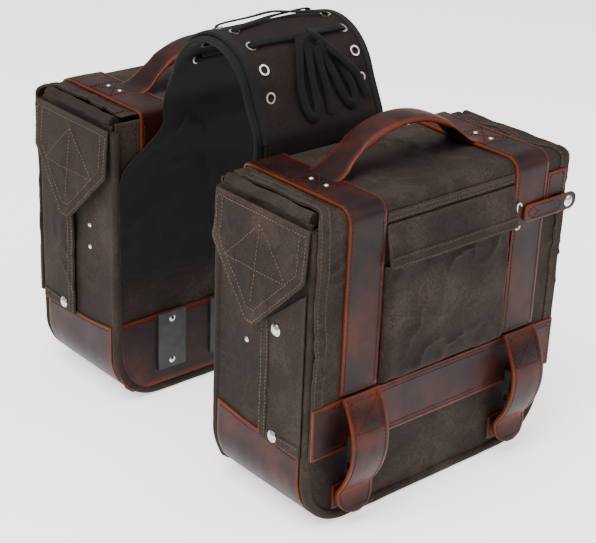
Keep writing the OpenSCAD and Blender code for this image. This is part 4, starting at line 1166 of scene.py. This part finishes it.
# %% Hook tab and patch
for side in SIDES:
    way = (0, SIDES[side], 0)

    def place_tab(u, v, side=side):
        x = (114 + 86.5 * u) * MM
        end_round = np.sqrt(np.clip(1 - np.clip((u - 0.88) / 0.12, 0, 1) ** 2 * 0.9, 0,
                                    1)) * np.sqrt(np.clip(1 - np.clip((0.07 - u) / 0.07, 0, 1) ** 2 * 0.7, 0, 1))
        z = (312 + (2 * v - 1) * 10.5 * end_round) * MM
        return bag_point(side, x, LID_D + (7.2 + 0.6 * np.sin(3 * u)) * MM, z)
    tab = Sheet(place_tab, (86.5 * MM, 21 * MM), way)
    piece = leather_piece(f"{side}_hook_tab_leather", tab, 2.8 * MM, 2.5 * MM, 0.7 * MM, f"{side}_hook_tab")
    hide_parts(f"{side}_hook_tab")
    chevron = [(0.05, 0.5), (0.14, 0.84), (0.62, 0.84), (0.7, 0.5), (0.62, 0.16), (0.14, 0.16), (0.05, 0.5)]
    sew(f"{side}_hook_tab_stitches", [seam(tab, chevron, samples=16),
                                      seam(tab, [(0.14, 0.84), (0.24, 0.5), (0.14, 0.16)], samples=10)],
        thread_red, f"{side}_hook_tab")
    patch = Sheet(lambda u, v, side=side: bag_point(side, (152.4 + 30.4 * u) * MM,
                                                    LID_D + 3 * MM + 0.2 * MM * np.sin(9 * v), (298 + 54 * v) * MM),
                                                    (30.4 * MM, 54 * MM), way)
    piece = leather_piece(f"{side}_corner_patch_leather", patch, 2.8 * MM, 3 * MM, 0.7 * MM, f"{side}_lid")
    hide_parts(f"{side}_corner_patch")
    sew(f"{side}_corner_patch_stitches", border(patch, 3.5 * MM, "lrtb"), thread_red, f"{side}_lid")

# %% [markdown]
# Below each tail a leather patch and a loop of webbing hold the buckle's fixed half.

# %% Buckle anchors
for side in SIDES:
    way = (0, SIDES[side], 0)
    for end, sign in ENDS.items():
        patch = Sheet(lambda u, v, side=side, sign=sign: bag_point(side, sign * STRAP_X + (44 * u - 22) * MM,
                                                                   FRONT + 3 * MM, (18 + 30 * v) * MM),
                                                                   (44 * MM, 30 * MM), way)
        piece = leather_piece(f"{side}_{end}_anchor_leather", patch, 2.8 * MM, 3 * MM, 0.7 * MM, "bags")
        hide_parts("buckle_anchors")
        sew(f"{side}_{end}_anchor_stitches", border(patch, 3.5 * MM, "lrtb"), thread_red, "bags")

        def place_web(u, v, side=side, sign=sign):
            z = np.interp(v, [0, 0.1, 0.6, 0.95, 1], [24, 28, 46, 60, 62.5]) * MM
            d = np.interp(v, [0, 0.1, 0.6, 0.95, 1], [165.4, 166.4, 167.8, 178.4, 178.9]) * MM
            return bag_point(side, sign * STRAP_X + (24 * u - 12) * MM, d, z)
        web = Sheet(place_web, (24 * MM, 42 * MM), way)
        build(f"{side}_{end}_webbing", web, binding, 1.8 * MM, 2.5 * MM, None, 0.4 * MM, "bags")

# %% [markdown]
# Inside is a loose black lining, which shows when a lid is open.

# %% Lining
for side in SIDES:
    seed = 601 if side == "right" else 641

    def place_lining(u, v, side=side, seed=seed):
        top = 360 * MM
        x, z = around_u((2 * v - 1) * u_length(top), 16.5 * MM)
        d = (7.6 + 149.6 * u) * MM
        press = np.abs(rumple(d, x + z, seed, 1.2 * MM, 2.2 * MM)) * np.clip((z - 0.05) / 0.05, 0, 1)
        return bag_point(side, x - np.sign(x) * press, d, z)
    lining_sheet = Sheet(place_lining, (149.6 * MM, 2 * u_length(360 * MM)), lambda p: np.array([0, 0, 1.0]))
    piece = build(f"{side}_lining_gusset", lining_sheet, lining, 0.9 * MM, 8 * MM)
    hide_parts("liners")
    for where, d0, way in (("inner", 8 * MM, 1), ("outer", 157 * MM, -1)):
        def place_wall(u, v, side=side, d0=d0, way=way, seed=seed):
            z = 18 * MM + v * (342 * MM)
            low = np.clip((CORNER_R - z) / (CORNER_R - 17 * MM), 0, 1)
            half = STRAIGHT + (CORNER_R - 17 * MM) * np.sqrt(np.clip(1 - low ** 2, 0, 1)) + 0 * u
            press = 1 + rumple((2 * u - 1) * half, z, seed + way, 0.9, 1.4)
            return bag_point(side, (2 * u - 1) * half, d0 + way * np.abs(press) * MM, z)
        wall = Sheet(place_wall, (346 * MM, 342 * MM), (0, SIDES[side] * way, 0))
        piece = build(f"{side}_lining_{where}", wall, lining, 0.9 * MM, 9 * MM)

# %% [markdown]
# The yoke is two padded panels that overlap under the lace. Each starts as a wide pad against one bag, narrows at
# its shoulders to the strap, and runs up and over the arch. Black tape folds over its edges.

# %% Yoke panels


def yoke_profile(radius, y_pad, far_z):
    """The panel's path in y and z, from the bottom of its pad over the arch to its far foot."""
    leg_in = LEG_Y - (ARCH_R - radius)
    points = [(-y_pad, 0.163), (-y_pad, 0.25), (-y_pad, 0.31), (-leg_in, 0.355), (-leg_in, LEG_Z)]
    for degrees in range(-75, 80, 5):
        a = math.radians(degrees)
        points.append((radius * math.sin(a), ARCH_Z + radius * math.cos(a)))
    start, stop = np.array(points[-1]), np.array([leg_in, LEG_Z])
    reach = (start[1] - far_z) / (start[1] - LEG_Z)
    points.append(tuple(start + (stop - start) * min(reach, 1)))
    if far_z < LEG_Z:
        points.append((leg_in, far_z))
    line = np.array([(0.0, y, z) for y, z in points])
    line, length = resample(line, 420)
    return soften(line, 30), length


def yoke_panel(radius, y_pad, far_z, flip, shift, seed):
    line, length = yoke_profile(radius, y_pad, far_z)
    steps = np.linspace(0, 1, len(line))

    def place(u, v):
        y, z = np.interp(v, steps, line[:, 1]), np.interp(v, steps, line[:, 2])
        run = v * length
        low = np.clip((0.020 - run) / 0.020, 0, 1)
        pad_half = 185 * MM - 20 * MM * (1 - np.sqrt(np.clip(1 - low ** 2, 0, 1)))
        neck = np.interp(run, [0.128, 0.150, 0.202], [0, 0.16, 1.0])
        neck = smooth_step(neck) * 0.5 + neck * 0.5
        half = pad_half + (88 * MM - pad_half) * neck
        middle = (YOKE_X + shift) * neck
        x = middle + (2 * u - 1) * half
        on_pad = np.clip((0.24 - run) / 0.05, 0, 1)
        press = 0.5 * MM * waves(x, run, seed, 0.10) + 0.9 * MM * creases(x, run, seed + 3, 0.07) * on_pad
        edge_curl = 1.2 * MM * (np.abs(2 * u - 1)) ** 6 * (1 - on_pad)
        slope_y, slope_z = np.interp(v, steps, np.gradient(line[:, 1])), np.interp(v, steps, np.gradient(line[:, 2]))
        norm = np.sqrt(slope_y ** 2 + slope_z ** 2)
        lift = np.clip(press, -0.3 * MM, 0.9 * MM) - edge_curl
        for row in ROWS:
            eyelet = np.array(over(0, row * flip, radius))
            for eyelet_x in (FRONT_X, REAR_X):
                away = np.sqrt((x - eyelet_x) ** 2 + (y - eyelet[1]) ** 2 + (z - eyelet[2]) ** 2)
                lift = lift - (2.2 if abs(row) > 75 else 0.9) * MM * np.exp(-(away / (10 * MM)) ** 4)
        y, z = y - slope_z / norm * lift, z + slope_y / norm * lift
        return np.stack(np.broadcast_arrays(x, y * flip, z), axis=-1)
    return Sheet(place, (370 * MM, length), lambda p: np.array([0, np.sign(p[1]) * 0.3, 1.0])
                 if p[2] > 0.43 else np.array([0, np.sign(p[1]), 0.0])), length


outer_panel, outer_length = yoke_panel(ARCH_R, 94.5 * MM, 403 * MM, 1, 0, 701)
inner_panel, inner_length = yoke_panel(INNER_R, 94.5 * MM, 330 * MM, -1, -8 * MM, 731)
for name, panel in (("outer_yoke", outer_panel), ("inner_yoke", inner_panel)):
    outside = build(name + "_canvas", panel, yoke_canvas, 2.2 * MM, 4.2 * MM, None, 0.5 * MM,
                    worn=0)
    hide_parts(name)

    def place_inside(u, v, panel=panel):
        """The lining, with long folds where the pad has been pressed."""
        on_pad = np.clip((0.45 - v) / 0.1, 0, 1)
        fold = creases((2 * u - 1) * 185 * MM, v * panel.size[1], 761, 0.10)
        return panel.at(u, v, -2.3 * MM - 2.4 * MM * on_pad * fold)
    inside = Sheet(place_inside, panel.size, lambda p: np.array([0, -np.sign(p[1]), -0.3]))
    build(name + "_lining", inside, lining, 2.0 * MM, 5 * MM, None, 0.5 * MM, worn=0)
    sew(name + "_stitches", border(panel, 13 * MM, "lr") + border(panel, 6 * MM, "tb"), thread_red, "bags",
        4.5 * MM)
for name, panel in (("outer_yoke", outer_panel), ("inner_yoke", inner_panel)):
    folds = [seam(panel, [(0.05, share), (0.95, share)], 0.2 * MM) for share in (0.07, 0.075, 0.17)]
    sew(name + "_quilting", folds, binding, "bags")
print("yoke panels", round(outer_length * 1000), "and", round(inner_length * 1000), "mm long")

# %% Yoke edge tape


def tape_round(panel, which, v0, v1):
    """Folded tape: from the outside face, round the edge, to the inside face."""
    def place(u, v):
        turn = (u - 0.5) * 2
        inset = 10 * MM * np.clip((np.abs(turn) - 0.2) / 0.8, 0, 1)
        lift = np.interp(turn, [-1, -0.2, 0.2, 1], [-5.0 * MM, -4.6 * MM, 0.6 * MM, 1.0 * MM])
        bulge = 0.8 * MM * np.clip(1 - np.abs(turn) / 0.2, 0, 1)
        run = v0 + v * (v1 - v0)
        half = np.linalg.norm(panel.place(np.ones_like(run), run) - panel.place(np.zeros_like(run), run), axis=-1)
        share = inset / half
        at_u = share if which == "front" else 1 - share
        point = panel.at(at_u, run, lift)
        point[..., 0] += (-1 if which == "front" else 1) * (0.5 * MM + bulge)
        return point
    return Sheet(place, (26 * MM, panel.size[1] * (v1 - v0)),
                 lambda p: np.array([-1.0 if which == "front" else 1.0, 0, 0]))


for name, panel in (("outer_yoke", outer_panel), ("inner_yoke", inner_panel)):
    for which in ("front", "rear"):
        tape_sheet = tape_round(panel, which, 0.44, 1.0)
        build(f"{name}_{which}_tape", tape_sheet, binding, 0.8 * MM, 3 * MM, None, 0,
                           worn=0)
    hem_strip = panel.part(0.06, 0.94, 0.004, 12 * MM / panel.size[1], 0.9 * MM)
    build(name + "_hook_and_loop", hem_strip, binding, 1.0 * MM, 4 * MM, None, 0.3 * MM, worn=0)
    far_tape = panel.part(0.0, 1.0, 1 - 11 * MM / panel.size[1], 1, 1.0 * MM)
    build(name + "_end_tape", far_tape, binding, 0.9 * MM, 3.5 * MM, None, 0.2 * MM,
                       worn=0)
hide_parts("yoke_bindings")
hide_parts("yoke_bindings")

# %% [markdown]
# The metal and plastic parts keep the frame's own shapes and only need their real finish.

# %% Hard parts
finishes = {"nickel": nickel, "plastic": plastic, "nylon": nylon}
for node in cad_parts:
    obj = bpy.data.objects.get(node)
    if obj is None or not hasattr(obj, "material_slots"):
        continue
    finish = None
    if any(word in node for word in ("rivet", "stud", "screw", "grommet", "concho", "wire")):
        finish = "nickel"
    elif "buckle_housing" in node or "buckle_clip" in node or "base_board" in node:
        finish = "plastic"
    elif "mounting_strip" in node:
        finish = "nylon"
    if finish:
        for slot in obj.material_slots:
            slot.material = finishes[finish]
        print(node, "->", finish)

# %% [markdown]
# A pale floor, one large soft light from the upper left, a weak fill from the right and a soft one from above.

# %% Floor and lights
deselect()
bpy.ops.mesh.primitive_plane_add(size=40, location=(0, 0, 0))
floor = bpy.context.object
floor.name = "floor"
floor_material, _, floor_shader = new_material("pale_floor")
floor_shader.inputs["Base Color"].default_value = linear("#fafafa")
floor_shader.inputs["Roughness"].default_value = 0.9
floor_shader.inputs["Emission Color"].default_value = linear("#ffffff")
floor_shader.inputs["Emission Strength"].default_value = 1.0
floor.data.materials.append(floor_material)


def soft_light(name, azimuth, elevation, distance, size, power):
    light = bpy.data.lights.new(name, "AREA")
    light.size = size
    light.energy = power
    obj = bpy.data.objects.new(name, light)
    obj.matrix_world = look_from(azimuth, elevation, 0, distance, (0, 0, 0.2))
    bpy.context.scene.collection.objects.link(obj)


soft_light("key", -75, 55, 3.0, 1.8, 120)
soft_light("fill", 30, 35, 3.2, 2.2, 38)
soft_light("top", 0, 88, 3.0, 2.0, 60)
world = bpy.data.worlds.new("studio")
world.use_nodes = True
background = next(n for n in world.node_tree.nodes if n.type == "BACKGROUND")
background.inputs["Color"].default_value = linear("#ffffff")
background.inputs["Strength"].default_value = 0.75
bpy.context.scene.world = world
